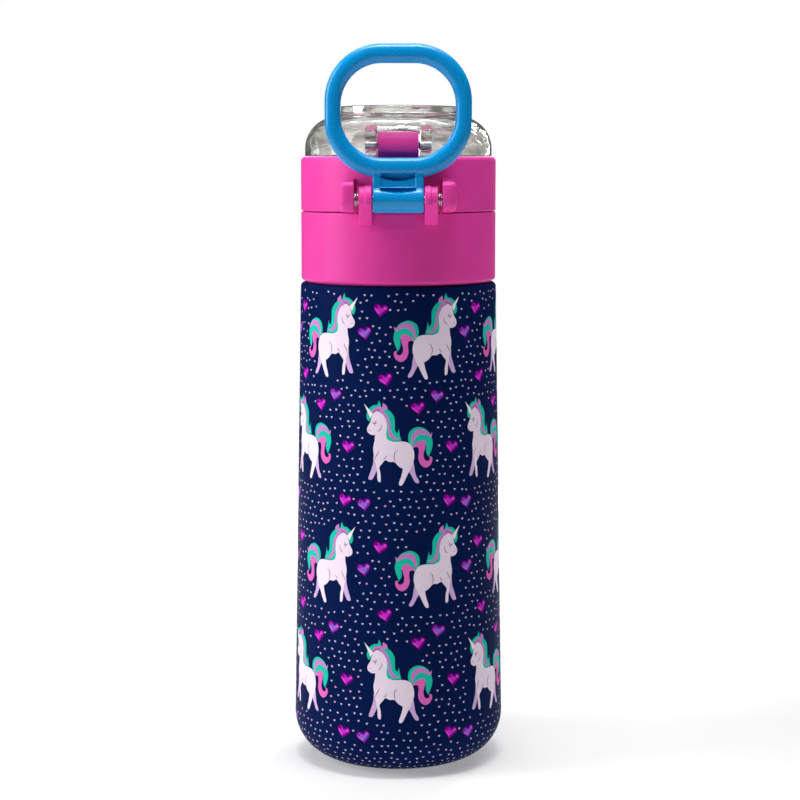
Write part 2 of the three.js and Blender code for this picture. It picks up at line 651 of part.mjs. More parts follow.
const bottle = new THREE.Group().add(
  piece('outer_shell', outerShell(), NAVY_COAT),
  piece('inner_liner', innerLiner(), STEEL),
  piece('base_plate', basePlate(), STEEL),
  piece('vacuum_seal', vacuumSeal(), SEAL_METAL),
);
const domeGroup = new THREE.Group().add(
  piece('dome', dome(), CLEAR_PLASTIC),
  piece('spout_seal', spoutSeal(), SILICONE),
);
const button = new THREE.Group().add(piece('lid_button', lidButton(), BLUE_PLASTIC));
const loop = new THREE.Group().add(piece('carry_loop', carryLoop(), BLUE_PLASTIC));
const pin = (radius, half, y, z) => barAlongX(radius, -half, half, y, z);
const lid = new THREE.Group().add(
  piece('lid_ring', lidRing(), PINK_PLASTIC),
  piece('lid_plug', lidPlug(), PINK_PLASTIC),
  piece('lid_gasket', lidGasket(), SILICONE),
  piece('spout', spout(), CLEAR_PLASTIC),
  piece('spout_gasket', spoutGasket(), SILICONE),
  piece('vent_valve', ventValve(), SILICONE),
  piece('dome_pin', pin(DOME_PIN_R, DOME_PIN_HALF, DOME_PIN_Y, DOME_PIN_Z), DARK_STEEL),
  piece('button_spring', buttonSpring(), STEEL),
  domeGroup, button, loop,
);
const collarGroup = new THREE.Group().add(
  piece('collar', collar(), PINK_PLASTIC),
  piece('hinge_pin', pin(HINGE_PIN_R, HINGE_PIN_HALF, HINGE_Y, HINGE_Z), STEEL),
  piece('hinge_spring_left', hingeSpring(-1), STEEL),
  piece('hinge_spring_right', hingeSpring(1), STEEL),
  lid,
);
const assembly = new THREE.Group().add(
  bottle, piece('neck_gasket', neckGasket(), SILICONE), collarGroup);

export default assembly;
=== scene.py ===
import math

import bmesh
import bpy
import numpy as np
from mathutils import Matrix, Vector
from mathutils.geometry import delaunay_2d_cdt


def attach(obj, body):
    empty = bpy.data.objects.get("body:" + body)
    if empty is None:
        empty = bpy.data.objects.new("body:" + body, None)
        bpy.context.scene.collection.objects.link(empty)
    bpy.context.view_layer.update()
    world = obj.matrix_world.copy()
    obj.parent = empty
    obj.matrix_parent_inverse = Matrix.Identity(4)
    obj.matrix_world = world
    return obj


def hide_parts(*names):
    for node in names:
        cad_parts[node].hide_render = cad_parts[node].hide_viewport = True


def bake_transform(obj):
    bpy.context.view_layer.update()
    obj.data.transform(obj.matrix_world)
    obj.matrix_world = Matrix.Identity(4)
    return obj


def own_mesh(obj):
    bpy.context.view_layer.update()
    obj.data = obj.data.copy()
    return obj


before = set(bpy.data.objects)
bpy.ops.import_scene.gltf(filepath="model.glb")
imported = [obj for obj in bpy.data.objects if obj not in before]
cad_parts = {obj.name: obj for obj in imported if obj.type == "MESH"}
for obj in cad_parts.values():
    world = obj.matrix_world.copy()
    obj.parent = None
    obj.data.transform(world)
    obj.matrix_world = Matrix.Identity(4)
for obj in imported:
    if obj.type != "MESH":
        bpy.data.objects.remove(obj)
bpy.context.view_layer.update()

# Studio: a pale floor under a white surround, a tall soft key light on the left, a weak rim light behind on
# the right, a broad light overhead and a small one above the loop. The surround is white where it is looked
# at or through, and dim where it lights the bottle.

MM = 0.001
scene = bpy.context.scene
scene.view_settings.view_transform = "Standard"
scene.view_settings.look = "None"

camera_at, camera_tilt, lens_length, lens_sensor = (0.0006, -0.7269, 0.2157), 0.116, 90.28, 36
view_camera = bpy.data.objects.new("camera", bpy.data.cameras.new("camera"))
view_camera.data.sensor_width = lens_sensor
view_camera.data.lens = lens_length
view_camera.data.clip_start = 10 * MM
view_camera.location = camera_at
view_camera.rotation_euler = (math.pi / 2 - camera_tilt, 0, 0)
scene.collection.objects.link(view_camera)
scene.camera = view_camera

surround = bpy.data.worlds.new("surround")
surround.use_nodes = True
scene.world = surround
sky = surround.node_tree


def sky_node(kind, settings=(), sockets=()):
    """A node of the surround: settings by name, and sockets by index with a number or a link."""
    added = sky.nodes.new("ShaderNode" + kind)
    for setting, value in dict(settings).items():
        setattr(added, setting, value)
    for socket, value in dict(sockets).items():
        if isinstance(value, bpy.types.NodeSocket):
            sky.links.new(value, added.inputs[socket])
        else:
            added.inputs[socket].default_value = value
    return added


def banded(share, stops):
    """Bands of grey over a share from 0 to 1, given as (place, grey) stops."""
    ramp = sky_node("ValToRGB", sockets={0: share})
    while len(ramp.color_ramp.elements) < len(stops):
        ramp.color_ramp.elements.new(0.5)
    for element, (at, grey) in zip(ramp.color_ramp.elements, stops):
        element.position, element.color = at, (grey, grey * 1.01, grey * 0.97, 1)
    return ramp.outputs[0]


# Seen through clear plastic, the surround is white near the horizon with grey bands above it, and with dark
# strips between its four sides, which give the clear dome its streaks and its dark edges.
ray = sky_node("LightPath").outputs
gaze = sky_node("SeparateXYZ", sockets={0: sky_node("TexCoord").outputs["Generated"]}).outputs
sideways = sky_node("Math", {"operation": "ABSOLUTE"}, {0: gaze[1]}).outputs[0]
bands = banded(gaze[2], [
    (0.0, 0.97), (0.04, 1.0), (0.07, 0.5), (0.1, 0.95), (0.15, 0.4), (0.2, 0.92), (0.28, 0.3), (0.37, 0.8),
    (0.5, 0.2), (0.63, 0.7), (0.8, 0.2), (1.0, 0.45)])
strips = banded(sideways, [
    (0.0, 1.0), (0.3, 1.0), (0.38, 0.25), (0.52, 0.25), (0.6, 1.0), (0.78, 1.0), (0.85, 0.2), (0.92, 0.2),
    (0.96, 1.0), (1.0, 1.0)])
white, matt_light, gloss_light = (1, 1, 1, 1), 0.05, 0.04
lit = sky_node("Math", {"operation": "MULTIPLY_ADD"}, {
    0: ray["Is Glossy Ray"], 1: gloss_light - matt_light, 2: matt_light}).outputs[0]
dim, banded_white, plain_white = (sky_node("Background", sockets={0: colour, 1: strength}).outputs[0]
                                  for colour, strength in ((white, lit), (bands, strips), (white, 1.0)))
through = sky_node("MixShader", sockets={0: ray["Is Transmission Ray"], 1: dim, 2: banded_white}).outputs[0]
whole = sky_node("MixShader", sockets={0: ray["Is Camera Ray"], 1: through, 2: plain_white})
sky.links.new(whole.outputs[0], sky.nodes["World Output"].inputs["Surface"])


def softbox(name, place, aim, width, height, watts, mirrored=True, through=True, spread=180):
    """A rectangular area light at place, facing aim: mirrored when gloss shows it, through when it is seen
    through clear plastic. Spread is its beam's full angle in degrees."""
    lamp = bpy.data.lights.new(name, "AREA")
    lamp.shape, lamp.size, lamp.size_y = "RECTANGLE", width, height
    lamp.energy, lamp.spread = watts, math.radians(spread)
    holder = bpy.data.objects.new(name, lamp)
    holder.location = place
    holder.visible_glossy, holder.visible_transmission, holder.visible_camera = mirrored, through, False
    holder.rotation_euler = (Vector(aim) - Vector(place)).to_track_quat("-Z", "Y").to_euler()
    scene.collection.objects.link(holder)


softbox("key_left", (-1.04, -0.2, 0.56), (0, 0, 0.13), 0.5, 0.9, 9.6, through=False)
softbox("rim_right", (0.43, 0.76, 0.3), (0, 0, 0.14), 0.14, 0.7, 4.2, mirrored=False)
softbox("overhead", (0, 0.32, 1.5), (0, 0, 0), 1.6, 1.6, 16.5)
softbox("top_light", (0, -0.09, 0.54), (0, -0.03, 0.24), 0.24, 0.08, 0.13, spread=50)


class Value:
    """A shader value. Plain sums and products of values add Math nodes to the material they belong to."""

    def __init__(self, tree, socket):
        self.tree, self.socket = tree, socket

    @staticmethod
    def worked(operation, *terms):
        tree = next(term.tree for term in terms if isinstance(term, Value))
        step = tree.nodes.new("ShaderNodeMath")
        step.operation = operation
        for socket, term in zip(step.inputs, terms):
            if isinstance(term, Value):
                tree.links.new(term.socket, socket)
            else:
                socket.default_value = term
        return Value(tree, step.outputs[0])

    def __add__(self, other):
        return Value.worked("ADD", self, other)

    def __sub__(self, other):
        return Value.worked("SUBTRACT", self, other)

    def __rsub__(self, other):
        return Value.worked("SUBTRACT", other, self)

    def __mul__(self, other):
        return Value.worked("MULTIPLY", self, other)

    __radd__, __rmul__ = __add__, __mul__


class Finish:
    """A material: one Principled shader with its constants, and the nodes that vary it over the surface."""

    def __init__(self, name, **constants):
        self.material = bpy.data.materials.new(name)
        self.material.use_nodes = True
        self.tree = self.material.node_tree
        self.shader = self.tree.nodes["Principled BSDF"]
        for socket, value in constants.items():
            self.shader.inputs[socket.replace("_", " ")].default_value = value

    def node(self, kind, settings=(), sockets=(), output=0):
        made = self.tree.nodes.new("ShaderNode" + kind)
        for setting, value in dict(settings).items():
            setattr(made, setting, value)
        for socket, value in dict(sockets).items():
            if isinstance(value, Value):
                self.tree.links.new(value.socket, made.inputs[socket])
            else:
                made.inputs[socket].default_value = value
        return Value(self.tree, made.outputs[output])

    def place(self, stretch=(1, 1, 1)):
        """Object coordinates in millimetres, stretched."""
        here = self.node("TexCoord", output="Object")
        return self.node("Mapping", sockets={"Vector": here, "Scale": tuple(s / MM for s in stretch)})

    def noise(self, size, detail=2.0, stretch=(1, 1, 1)):
        """Noise from 0 to 1 whose features are size millimetres across."""
        return self.node("TexNoise", sockets={
            "Vector": self.place(stretch), "Scale": 1 / size, "Detail": detail}, output="Fac")

    def blend(self, factor, low, high):
        """A colour between low and high."""
        return self.node("Mix", {"data_type": "RGBA"}, {0: factor, 6: low, 7: high}, output=2)

    def feed(self, **values):
        for socket, value in values.items():
            self.tree.links.new(value.socket, self.shader.inputs[socket.replace("_", " ")])

    def bump(self, height, depth):
        """A fine relief of depth millimetres."""
        self.feed(Normal=self.node("Bump", sockets={
            "Height": height, "Strength": 1.0, "Distance": depth * MM}, output="Normal"))


def ink(red, green, blue):
    """A display colour from 0 to 255 a channel, as the shader's linear colour."""
    share = np.array([red, green, blue]) / 255
    linear = np.where(share <= 0.04045, share / 12.92, ((share + 0.055) / 1.055) ** 2.4)
    return (*linear.tolist(), 1.0)


# The floor glows. Near the bottle a faint painted glow lifts its contact shadow, and from 200 mm out to 430
# mm it fades up to a plain white glow.
floor_half, glow_lifting_shadow, fade_from, fade_to = 0.62, (0.3, 0.3, 0.3, 1), 200.0, 430.0
floor_paint = Finish("floor_paint", Roughness=0.9, Specular_IOR_Level=0.1, Emission_Strength=1.0)
from_axis = floor_paint.node("VectorMath", {"operation": "LENGTH"}, {0: floor_paint.place()}, output="Value")
faded = floor_paint.node("MapRange", {"interpolation_type": "SMOOTHSTEP"}, {
    "Value": from_axis, "From Min": fade_from, "From Max": fade_to})
floor_paint.feed(
    Emission_Color=floor_paint.blend(faded, glow_lifting_shadow, white),
    Base_Color=floor_paint.blend(floor_paint.noise(30), (0.64, 0.64, 0.64, 1), (0.66, 0.66, 0.66, 1)))
floor_mesh = bpy.data.meshes.new("floor")
floor_mesh.from_pydata([(-floor_half, -floor_half, 0), (floor_half, -floor_half, 0),
                        (floor_half, floor_half, 0), (-floor_half, floor_half, 0)], [], [(0, 1, 2, 3)])
floor_mesh.materials.append(floor_paint.material)
floor = bpy.data.objects.new("floor", floor_mesh)
scene.collection.objects.link(floor)


# Outer shell: drawn stainless steel, necked in at the top and turned under at the base, powder-coated
# deep navy with a fine orange-peel satin surface.

def rounded(corners, closed=True, step=7.5):
    """An outline through (x, y, radius) corners. Each fillet is the arc that touches both sides, in chords
    of step degrees; a corner without a radius stays sharp."""
    places = [np.array(corner[:2], float) for corner in corners]
    out = []
    for i, corner in enumerate(corners):
        radius = corner[2] if len(corner) > 2 else 0
        if radius == 0 or (not closed and i in (0, len(corners) - 1)):
            out.append(places[i][None])
            continue
        before = places[i - 1] - places[i]
        after = places[(i + 1) % len(places)] - places[i]
        before, after = before / np.linalg.norm(before), after / np.linalg.norm(after)
        half = math.acos(np.clip(before @ after, -1, 1)) / 2
        middle = before + after
        centre = places[i] + middle / np.linalg.norm(middle) * radius / math.sin(half)
        start = places[i] + before * radius / math.tan(half) - centre
        end = places[i] + after * radius / math.tan(half) - centre
        turn = math.atan2(start[0] * end[1] - start[1] * end[0], start @ end)
        t = np.linspace(0, turn, max(2, math.ceil(abs(math.degrees(turn)) / step)) + 1)
        out.append(centre + np.stack([start[0] * np.cos(t) - start[1] * np.sin(t),
                                      start[0] * np.sin(t) + start[1] * np.cos(t)], 1))
    return np.concatenate(out)


def lattice(points, close_u=True, close_v=True):
    """Points on a grid of two parameters, as vertices and quads. A closed direction joins its last line of
    points to its first."""
    u, v = points.shape[:2]
    index = np.arange(u * v).reshape(u, v)
    right = np.roll(index, -1, 0)
    up = np.roll(index, -1, 1)
    both = np.roll(right, -1, 1)
    quads = np.stack([index, right, both, up], -1)
    quads = quads[:u if close_u else u - 1, :v if close_v else v - 1]
    return points.reshape(-1, 3), quads.reshape(-1, 4).tolist()


def turned(outline, sides=180):
    """An outline in radius and height turned about the axis: x = r cos a, y = r sin a. An outline with its
    ends on the axis closes there; any other is a ring."""
    angle = np.linspace(0, 2 * np.pi, sides, endpoint=False)[:, None]
    r, z = outline[None, :, 0], outline[None, :, 1]
    points = np.stack([r * np.cos(angle), r * np.sin(angle), z + 0 * angle], -1)
    on_axis = abs(outline[0, 0]) < 1e-9 and abs(outline[-1, 0]) < 1e-9
    return lattice(points, True, not on_axis)


def joined(*parts):
    """Several (vertices, faces) pairs as one."""
    vertices, faces, count = [], [], 0
    for points, polygons in parts:
        vertices.append(points)
        faces += [[count + i for i in polygon] for polygon in polygons]
        count += len(points)
    return np.concatenate(vertices), faces


def made(name, part, finish, sharp=35):
    """A piece's object from its vertices in millimetres and faces: doubles merged, faces turned outwards,
    smooth except at edges sharper than the given angle."""
    points, faces = part
    mesh = bpy.data.meshes.new(name)
    mesh.from_pydata((np.asarray(points) * MM).tolist(), [], faces)
    work = bmesh.new()
    work.from_mesh(mesh)
    bmesh.ops.remove_doubles(work, verts=work.verts, dist=1e-6)
    bmesh.ops.dissolve_degenerate(work, edges=work.edges, dist=1e-7)
    bmesh.ops.recalc_face_normals(work, faces=work.faces)
    work.to_mesh(mesh)
    work.free()
    mesh.shade_smooth()
    mesh.set_sharp_from_angle(angle=math.radians(sharp))
    mesh.materials.append(finish.material)
    piece = bpy.data.objects.new(name, mesh)
    scene.collection.objects.link(piece)
    return piece


def fitted(piece, node, body):
    """The piece stands for a CAD node, whose own part is hidden, and moves with its body."""
    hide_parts(node)
    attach(piece, body)


shell_coat = Finish("navy_powder_coat", IOR=1.06)
shell_coat.feed(
    Base_Color=shell_coat.blend(shell_coat.noise(22, 3), ink(6, 24, 70), ink(9, 30, 80)),
    Roughness=0.36 + shell_coat.noise(1.6, 3) * 0.14)
shell_coat.bump(shell_coat.noise(0.7, 2) + shell_coat.noise(0.16, 2) * 0.4, 0.012)

base_hole_r, shell_low_r, shell_top_r, shell_top_z = 21.3, 38.4, 35.24, 174.3
base_fillet, shoulder_fillet, shell_wall, neck_clear_r = 16.25, 1.6, 0.6, 29.4
shell_outside = rounded([
    (base_hole_r, 0), (shell_low_r, 0, base_fillet), (shell_top_r, shell_top_z, shoulder_fillet),
    (neck_clear_r, shell_top_z)], closed=False, step=4)
shell_inside = rounded([
    (base_hole_r, shell_wall), (shell_low_r - shell_wall, shell_wall, base_fillet - shell_wall),
    (shell_top_r - shell_wall, shell_top_z - shell_wall), (neck_clear_r, shell_top_z - shell_wall)],
    closed=False, step=6)
shell = made("shell_coated", turned(np.concatenate([shell_outside, shell_inside[::-1]]), 256), shell_coat)
fitted(shell, "outer_shell", "bottle")


# Printed pattern: inks under the clear coat, walking unicorns in four rows with faceted gem hearts between
# them and tiny hearts over the rest. Each colour is a thin film that follows the shell, base fillet included.

print_ink = Finish("print_inks", IOR=1.06)
film_colour = print_ink.node("Attribute", {"attribute_name": "ink"}, output="Color")
print_ink.feed(
    Base_Color=print_ink.node("Mix", {"data_type": "RGBA", "blend_type": "MULTIPLY"}, {
        0: 1.0, 6: film_colour,
        7: print_ink.blend(print_ink.noise(9, 3), (0.93, 0.93, 0.94, 1), (1, 1, 1, 1))}, output=2),
    Roughness=0.36 + print_ink.noise(1.6, 3) * 0.14)
print_ink.bump(print_ink.noise(0.7, 2) + print_ink.noise(0.16, 2) * 0.4, 0.012)

profile_step = np.linalg.norm(np.diff(shell_outside, axis=0), axis=1)
profile_run = np.concatenate([[0], np.cumsum(profile_step)])
below_shoulder = 5
wall_top = int(np.argmax(shell_outside[:, 1] > shell_top_z - below_shoulder))
profile_run += shell_outside[wall_top, 1] - profile_run[wall_top]
slope = np.gradient(shell_outside, axis=0)
profile_out = np.stack([slope[:, 1], -slope[:, 0]], 1) / np.linalg.norm(slope, axis=1)[:, None]


def on_shell(angle, height, across, up, lift):
    """Print coordinates carried on to the shell: up runs along the shell's profile from height, across runs
    round it from angle, and lift is the film's distance from the steel."""
    run = height + up
    r0 = np.interp(height, profile_run, shell_outside[:, 0])
    r, z = (np.interp(run, profile_run, shell_outside[:, k]) for k in (0, 1))
    out_r, out_z = (np.interp(run, profile_run, profile_out[:, k]) for k in (0, 1))
    turn = np.radians(angle) + across / r0
    r, z = r + out_r * lift, z + out_z * lift
    return np.stack([r * np.sin(turn), -r * np.cos(turn), z], -1)


def cubic(a, b, c, d, t):
    """The cubic from b to c whose end slopes are half the chords from a to c and from b to d."""
    return b + t / 2 * ((c - a) + t * ((2 * a - 5 * b + 4 * c - d) + t * (3 * b - 3 * c + d - a)))


def smooth(points, steps=5):
    """A closed curve through the points, one cubic a span. A point given twice is a corner."""
    given = np.array(points, float)
    a, b, c, d = (np.roll(given, shift, 0)[:, None] for shift in (1, 0, -1, -2))
    t = np.linspace(0, 1, steps, endpoint=False)[None, :, None]
    spans = cubic(a, b, c, d, t)
    return spans[np.abs(b - c).max((1, 2)) > 0].reshape(-1, 2)


def stroke(points, width, steps=5):
    """A pen line through the points that swells from nothing to its width and back, as an outline."""
    ends = [points[0]] + list(points) + [points[-1]]
    given = np.array(ends, float)
    a, b, c, d = (given[k:len(given) - 3 + k][:, None] for k in range(4))
    t = np.linspace(0, 1, steps, endpoint=False)[None, :, None]
    line = np.concatenate([cubic(a, b, c, d, t).reshape(-1, 2), given[-1:]])
    along = np.gradient(line, axis=0)
    side = np.stack([-along[:, 1], along[:, 0]], 1) / np.linalg.norm(along, axis=1)[:, None]
    blunt = 0.12
    half = width / 2 * np.sin(np.linspace(blunt, np.pi - blunt, len(line)))[:, None]
    return np.concatenate([line + side * half, (line - side * half)[::-1]])


def film(outline, grain=1.3):
    """A filled outline as triangles, with points inside every grain millimetres so that it can be bent."""
    low, high = outline.min(0), outline.max(0)
    xs, ys = (np.arange(low[k] + grain / 2, high[k], grain) for k in (0, 1))
    inside = np.stack(np.meshgrid(xs, ys), -1).reshape(-1, 2)
    n = len(outline)
    edges = np.stack([np.arange(n), (np.arange(n) + 1) % n], 1).tolist()
    points = [Vector(p) for p in np.concatenate([outline, inside]).tolist()]
    found, _, faces = delaunay_2d_cdt(points, edges, [], 1, 1e-5)[:3]
    return np.array([tuple(p) for p in found]), faces


coat_white, leg_lilac, horn_white = ink(252, 234, 252), ink(220, 184, 236), ink(255, 250, 255)
teal, orchid, deep_pink, pen = ink(34, 206, 178), ink(214, 132, 214), ink(236, 110, 200), ink(128, 96, 138)
unicorn = [
    (1, teal, smooth([(4.4, -1.3), (3.4, 1.6), (4.2, 4.4), (6.9, 5.7), (9.9, 4.7), (11.6, 2.5),
        (12.2, -0.2), (11.7, -2.6), (10.7, -4.9), (10.7, -4.9), (9.8, -3.2), (9.8, -0.9), (8.8, 0.5),
        (6.9, 0.4), (5.6, -1.4)])),
    (2, orchid, smooth([(4.5, 0.2), (4.9, 3.0), (6.5, 4.7), (8.9, 4.7), (10.9, 3.3), (11.3, 2.9),
        (12.0, 3.8), (12.0, 3.8), (11.9, 2.5), (11.1, 2.1), (9.0, 3.0), (7.1, 2.9), (5.6, 1.2),
        (5.0, -0.4)])),
    (2, deep_pink, smooth([(4.9, -1.7), (6.0, -0.2), (7.8, 0.9), (9.5, 0.5), (9.5, -1.6), (8.9, -3.8),
        (9.2, -5.6), (10.3, -6.3), (11.2, -5.7), (10.9, -4.9), (11.8, -4.9), (12.1, -6.1), (11.3, -7.8),
        (9.6, -8.6), (7.9, -7.6), (7.0, -5.4), (7.2, -3.0), (6.9, -1.5), (6.0, -1.3)])),
    (1, leg_lilac, smooth([(-8.5, -4.2), (-8.9, -7.4), (-10.4, -12.0), (-10.3, -12.8), (-9.1, -12.7),
        (-7.9, -10.4), (-6.6, -6.4)])),
    (1, leg_lilac, smooth([(3.0, -8.0), (4.6, -11.4), (5.9, -13.7), (7.1, -14.0), (7.1, -13.0),
        (6.0, -10.8), (5.1, -6.2)])),
    (3, coat_white, smooth([(-9.4, 9.2), (-9.9, 7.3), (-11.0, 5.3), (-10.8, 3.7), (-9.3, 2.8), (-8.2, 3.0),
        (-8.2, 3.0), (-8.3, 0.9), (-8.8, -1.8), (-8.5, -4.6), (-7.9, -7.4), (-7.4, -10.4), (-7.2, -12.9),
        (-6.6, -13.6), (-6.1, -13.2), (-6.2, -10.6), (-6.6, -8.5), (-5.5, -7.0), (-4.5, -5.9), (-3.1, -6.5),
        (-1.4, -6.5), (0.0, -7.9), (1.6, -8.9), (1.6, -8.9), (1.1, -11.2), (0.3, -13.7), (0.4, -14.7),
        (1.5, -14.4), (3.3, -10.8), (4.7, -8.0), (5.6, -4.8), (5.1, -1.7), (3.5, 0.2), (1.1, 0.7),
        (-2.0, 0.7), (-3.5, 1.7), (-3.9, 4.2), (-4.0, 7.7), (-4.9, 10.1), (-6.6, 11.4), (-8.4, 10.8)])),
    (4, teal, smooth([(-7.0, 11.3), (-5.1, 12.3), (-2.9, 11.3), (-1.4, 9.1), (-1.2, 6.8), (-1.1, 4.6),
        (-0.3, 3.7), (0.2, 5.2), (0.2, 5.2), (0.5, 3.2), (1.1, 1.0), (1.1, 1.0), (-1.4, 0.8), (-3.5, 1.2),
        (-4.2, 3.0), (-3.9, 5.5), (-4.1, 7.6), (-5.2, 10.0)])),
    (5, orchid, smooth([(-5.7, 11.6), (-4.1, 10.0), (-3.0, 7.6), (-2.7, 5.2), (-2.0, 3.2), (-0.5, 2.0),
        (0.7, 2.2), (0.7, 2.2), (-0.5, 1.4), (-2.2, 1.7), (-3.4, 3.2), (-3.5, 5.6), (-4.0, 7.6),
        (-5.3, 9.9), (-7.2, 11.2)])),
    (4, teal, smooth([(-10.6, 7.6), (-11.3, 9.3), (-10.7, 11.6), (-8.9, 13.2), (-7.4, 13.5), (-6.8, 15.0),
        (-6.8, 15.0), (-6.1, 13.2), (-6.5, 12.0), (-8.4, 11.5), (-9.5, 10.2), (-9.8, 8.4)])),
    (5, orchid, smooth([(-9.3, 10.2), (-8.2, 11.3), (-6.4, 11.9), (-5.2, 11.6), (-5.5, 12.5), (-7.0, 12.7),
        (-8.8, 12.0)])),
    (5, orchid, smooth([(-5.6, 12.2), (-5.4, 14.2), (-5.4, 14.2), (-4.1, 13.2), (-3.8, 12.0),
        (-4.7, 11.8)])),
    (6, horn_white, smooth([(-9.9, 8.7), (-9.9, 8.7), (-12.2, 13.7), (-12.2, 13.7), (-8.9, 10.2),
        (-8.9, 10.2)])),
    (6, pen, stroke([(-9.2, 7.6), (-8.7, 7.0), (-8.0, 6.9), (-7.5, 7.4)], 0.3)),
    (6, pen, stroke([(-8.1, 6.9), (-8.0, 7.5), (-7.6, 8.0)], 0.2)),
    (6, pen, stroke([(-8.5, 6.8), (-8.3, 6.4), (-7.8, 6.1)], 0.18)),
    (6, pen, stroke([(-5.9, 6.9), (-6.0, 5.5), (-6.6, 4.5), (-7.3, 4.0)], 0.24)),
    (6, pen, stroke([(-10.2, 4.7), (-10.0, 4.4), (-9.8, 4.6)], 0.22)),
    (6, pen, stroke([(-6.8, -2.4), (-7.2, -3.6), (-7.8, -4.6), (-8.1, -5.8)], 0.24)),
    (6, pen, stroke([(-4.0, -4.2), (-4.5, -5.0), (-5.2, -5.7)], 0.24)),
    (6, pen, stroke([(0.0, -2.1), (-1.0, -3.0), (-1.4, -4.4), (-1.3, -5.7), (-0.9, -6.6)], 0.26)),
]
unicorn_films = [(layer, tint, *film(outline)) for layer, tint, outline in unicorn]
film_lift = 0.012
row_heights = (35.6, 76.5, 120.0, 157.0)
unicorn_places = [
    (60 * k + (17 if row % 2 else 0), height, -1 if row % 2 else 1)
    for row, height in enumerate(row_heights) for k in range(6)]


def film_piece(name, parts):
    """One film piece from (vertices, faces, inks) parts, facing outwards, with its inks on its vertices."""
    points, faces = joined(*[(p, f) for p, f, _ in parts])
    tints = np.concatenate([np.broadcast_to(np.array(tint, np.float32), (len(p), 4)) for p, _, tint in parts])
    mesh = bpy.data.meshes.new(name)
    mesh.from_pydata((points * MM).tolist(), [], faces)
    outward = np.zeros(len(mesh.polygons) * 3, np.float32)
    centre = np.zeros(len(mesh.polygons) * 3, np.float32)
    mesh.polygons.foreach_get("normal", outward)
    mesh.polygons.foreach_get("center", centre)
    outward, centre = outward.reshape(-1, 3), centre.reshape(-1, 3) - (0, 0, 0.03)
    if (np.sum(outward[:, :2] * centre[:, :2], 1)).mean() < 0:
        mesh.flip_normals()
    held = mesh.attributes.new("ink", "FLOAT_COLOR", "POINT")
    held.data.foreach_set("color", tints.astype(np.float32).ravel())
    mesh.shade_smooth()
    mesh.materials.append(print_ink.material)
    piece = bpy.data.objects.new(name, mesh)
    scene.collection.objects.link(piece)
    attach(piece, "bottle")
    return piece


def unfolded(faces, way):
    """Faces of a mirrored motif are turned back so that all face outwards."""
    return faces if way > 0 else [list(face)[::-1] for face in faces]


film_piece("print_unicorns", [
    (on_shell(angle, height, way * flat[:, 0], flat[:, 1], film_lift * layer), unfolded(faces, way), tint)
    for angle, height, way in unicorn_places for layer, tint, flat, faces in unicorn_films])


def heart(t):
    """A heart of unit width: x = 16 sin^3 t, y = 13 cos t - 5 cos 2t - 2 cos 3t - cos 4t, over 32."""
    x = 16 * np.sin(t) ** 3
    y = 13 * np.cos(t) - 5 * np.cos(2 * t) - 2 * np.cos(3 * t) - np.cos(4 * t)
    return np.stack([x, y + 2.5], -1) / 32


def spun(points, degrees):
    turn = math.radians(degrees)
    x, y = points[..., 0], points[..., 1]
    return np.stack([x * math.cos(turn) - y * math.sin(turn), x * math.sin(turn) + y * math.cos(turn)], -1)


gem_width = 5.2
gem_points = 24
gem_t = np.linspace(0, 2 * np.pi, gem_points, endpoint=False)
gem_edge = heart(gem_t) * gem_width
gem_rim, gem_glow = ink(110, 2, 130), ink(52, 8, 88)
gem_rings = (1.12, 1.0, 0.86, 0.48)
magenta = [ink(196, 26, 190), ink(140, 10, 146), ink(236, 70, 226), ink(116, 8, 136), ink(208, 52, 212)]
violet = [ink(180, 34, 186), ink(120, 60, 190), ink(206, 96, 220), ink(100, 20, 150), ink(150, 110, 220)]


def gem(angle, height, tilt, shades):
    """A gem heart: a dark rim, a belt of twelve facets in turn light and dark, and a pale table."""
    flat = spun(np.stack([gem_edge * ring for ring in gem_rings]), tilt)
    parts = []
    for ring, (tint, lift) in enumerate([(gem_glow, 1), (gem_rim, 2)]):
        pair = np.concatenate([flat[ring], flat[ring + 1]])
        n = gem_points
        quads = [[i, (i + 1) % n, n + (i + 1) % n, n + i] for i in range(n)]
        parts.append((on_shell(angle, height, pair[:, 0], pair[:, 1], film_lift * lift), quads, tint))
    for facet in range(gem_points // 2):
        at = [2 * facet, 2 * facet + 1, (2 * facet + 2) % gem_points]
        strip = np.concatenate([flat[2][at], flat[3][at]])
        quads = [[0, 1, 4, 3], [1, 2, 5, 4]]
        tint = shades[(facet * 3 + facet // 4) % 4]
        parts.append((on_shell(angle, height, strip[:, 0], strip[:, 1], film_lift * 2), quads, tint))
    table = np.concatenate([flat[3], flat[3].mean(0, keepdims=True)])
    fan = [[i, (i + 1) % gem_points, gem_points] for i in range(gem_points)]
    parts.append((on_shell(angle, height, table[:, 0], table[:, 1], film_lift * 2), fan, shades[4]))
    return parts


gem_layout = [
    (-10, 166, -8, magenta), (41, 158, 10, violet), (-7, 142, 12, magenta), (22, 136, -10, violet),
    (11, 132, 6, magenta), (-29, 118, -6, magenta), (-19, 98, 10, violet), (29, 99, -12, magenta)]
print_repeats, repeat_height = 6, 83
gem_places = [
    (angle + 360 / print_repeats * k, height - repeat_height * low, tilt, shades)
    for angle, height, tilt, shades in gem_layout for k in range(print_repeats) for low in (0, 1)]
film_piece("print_gem_hearts", [part for place in gem_places for part in gem(*place)])

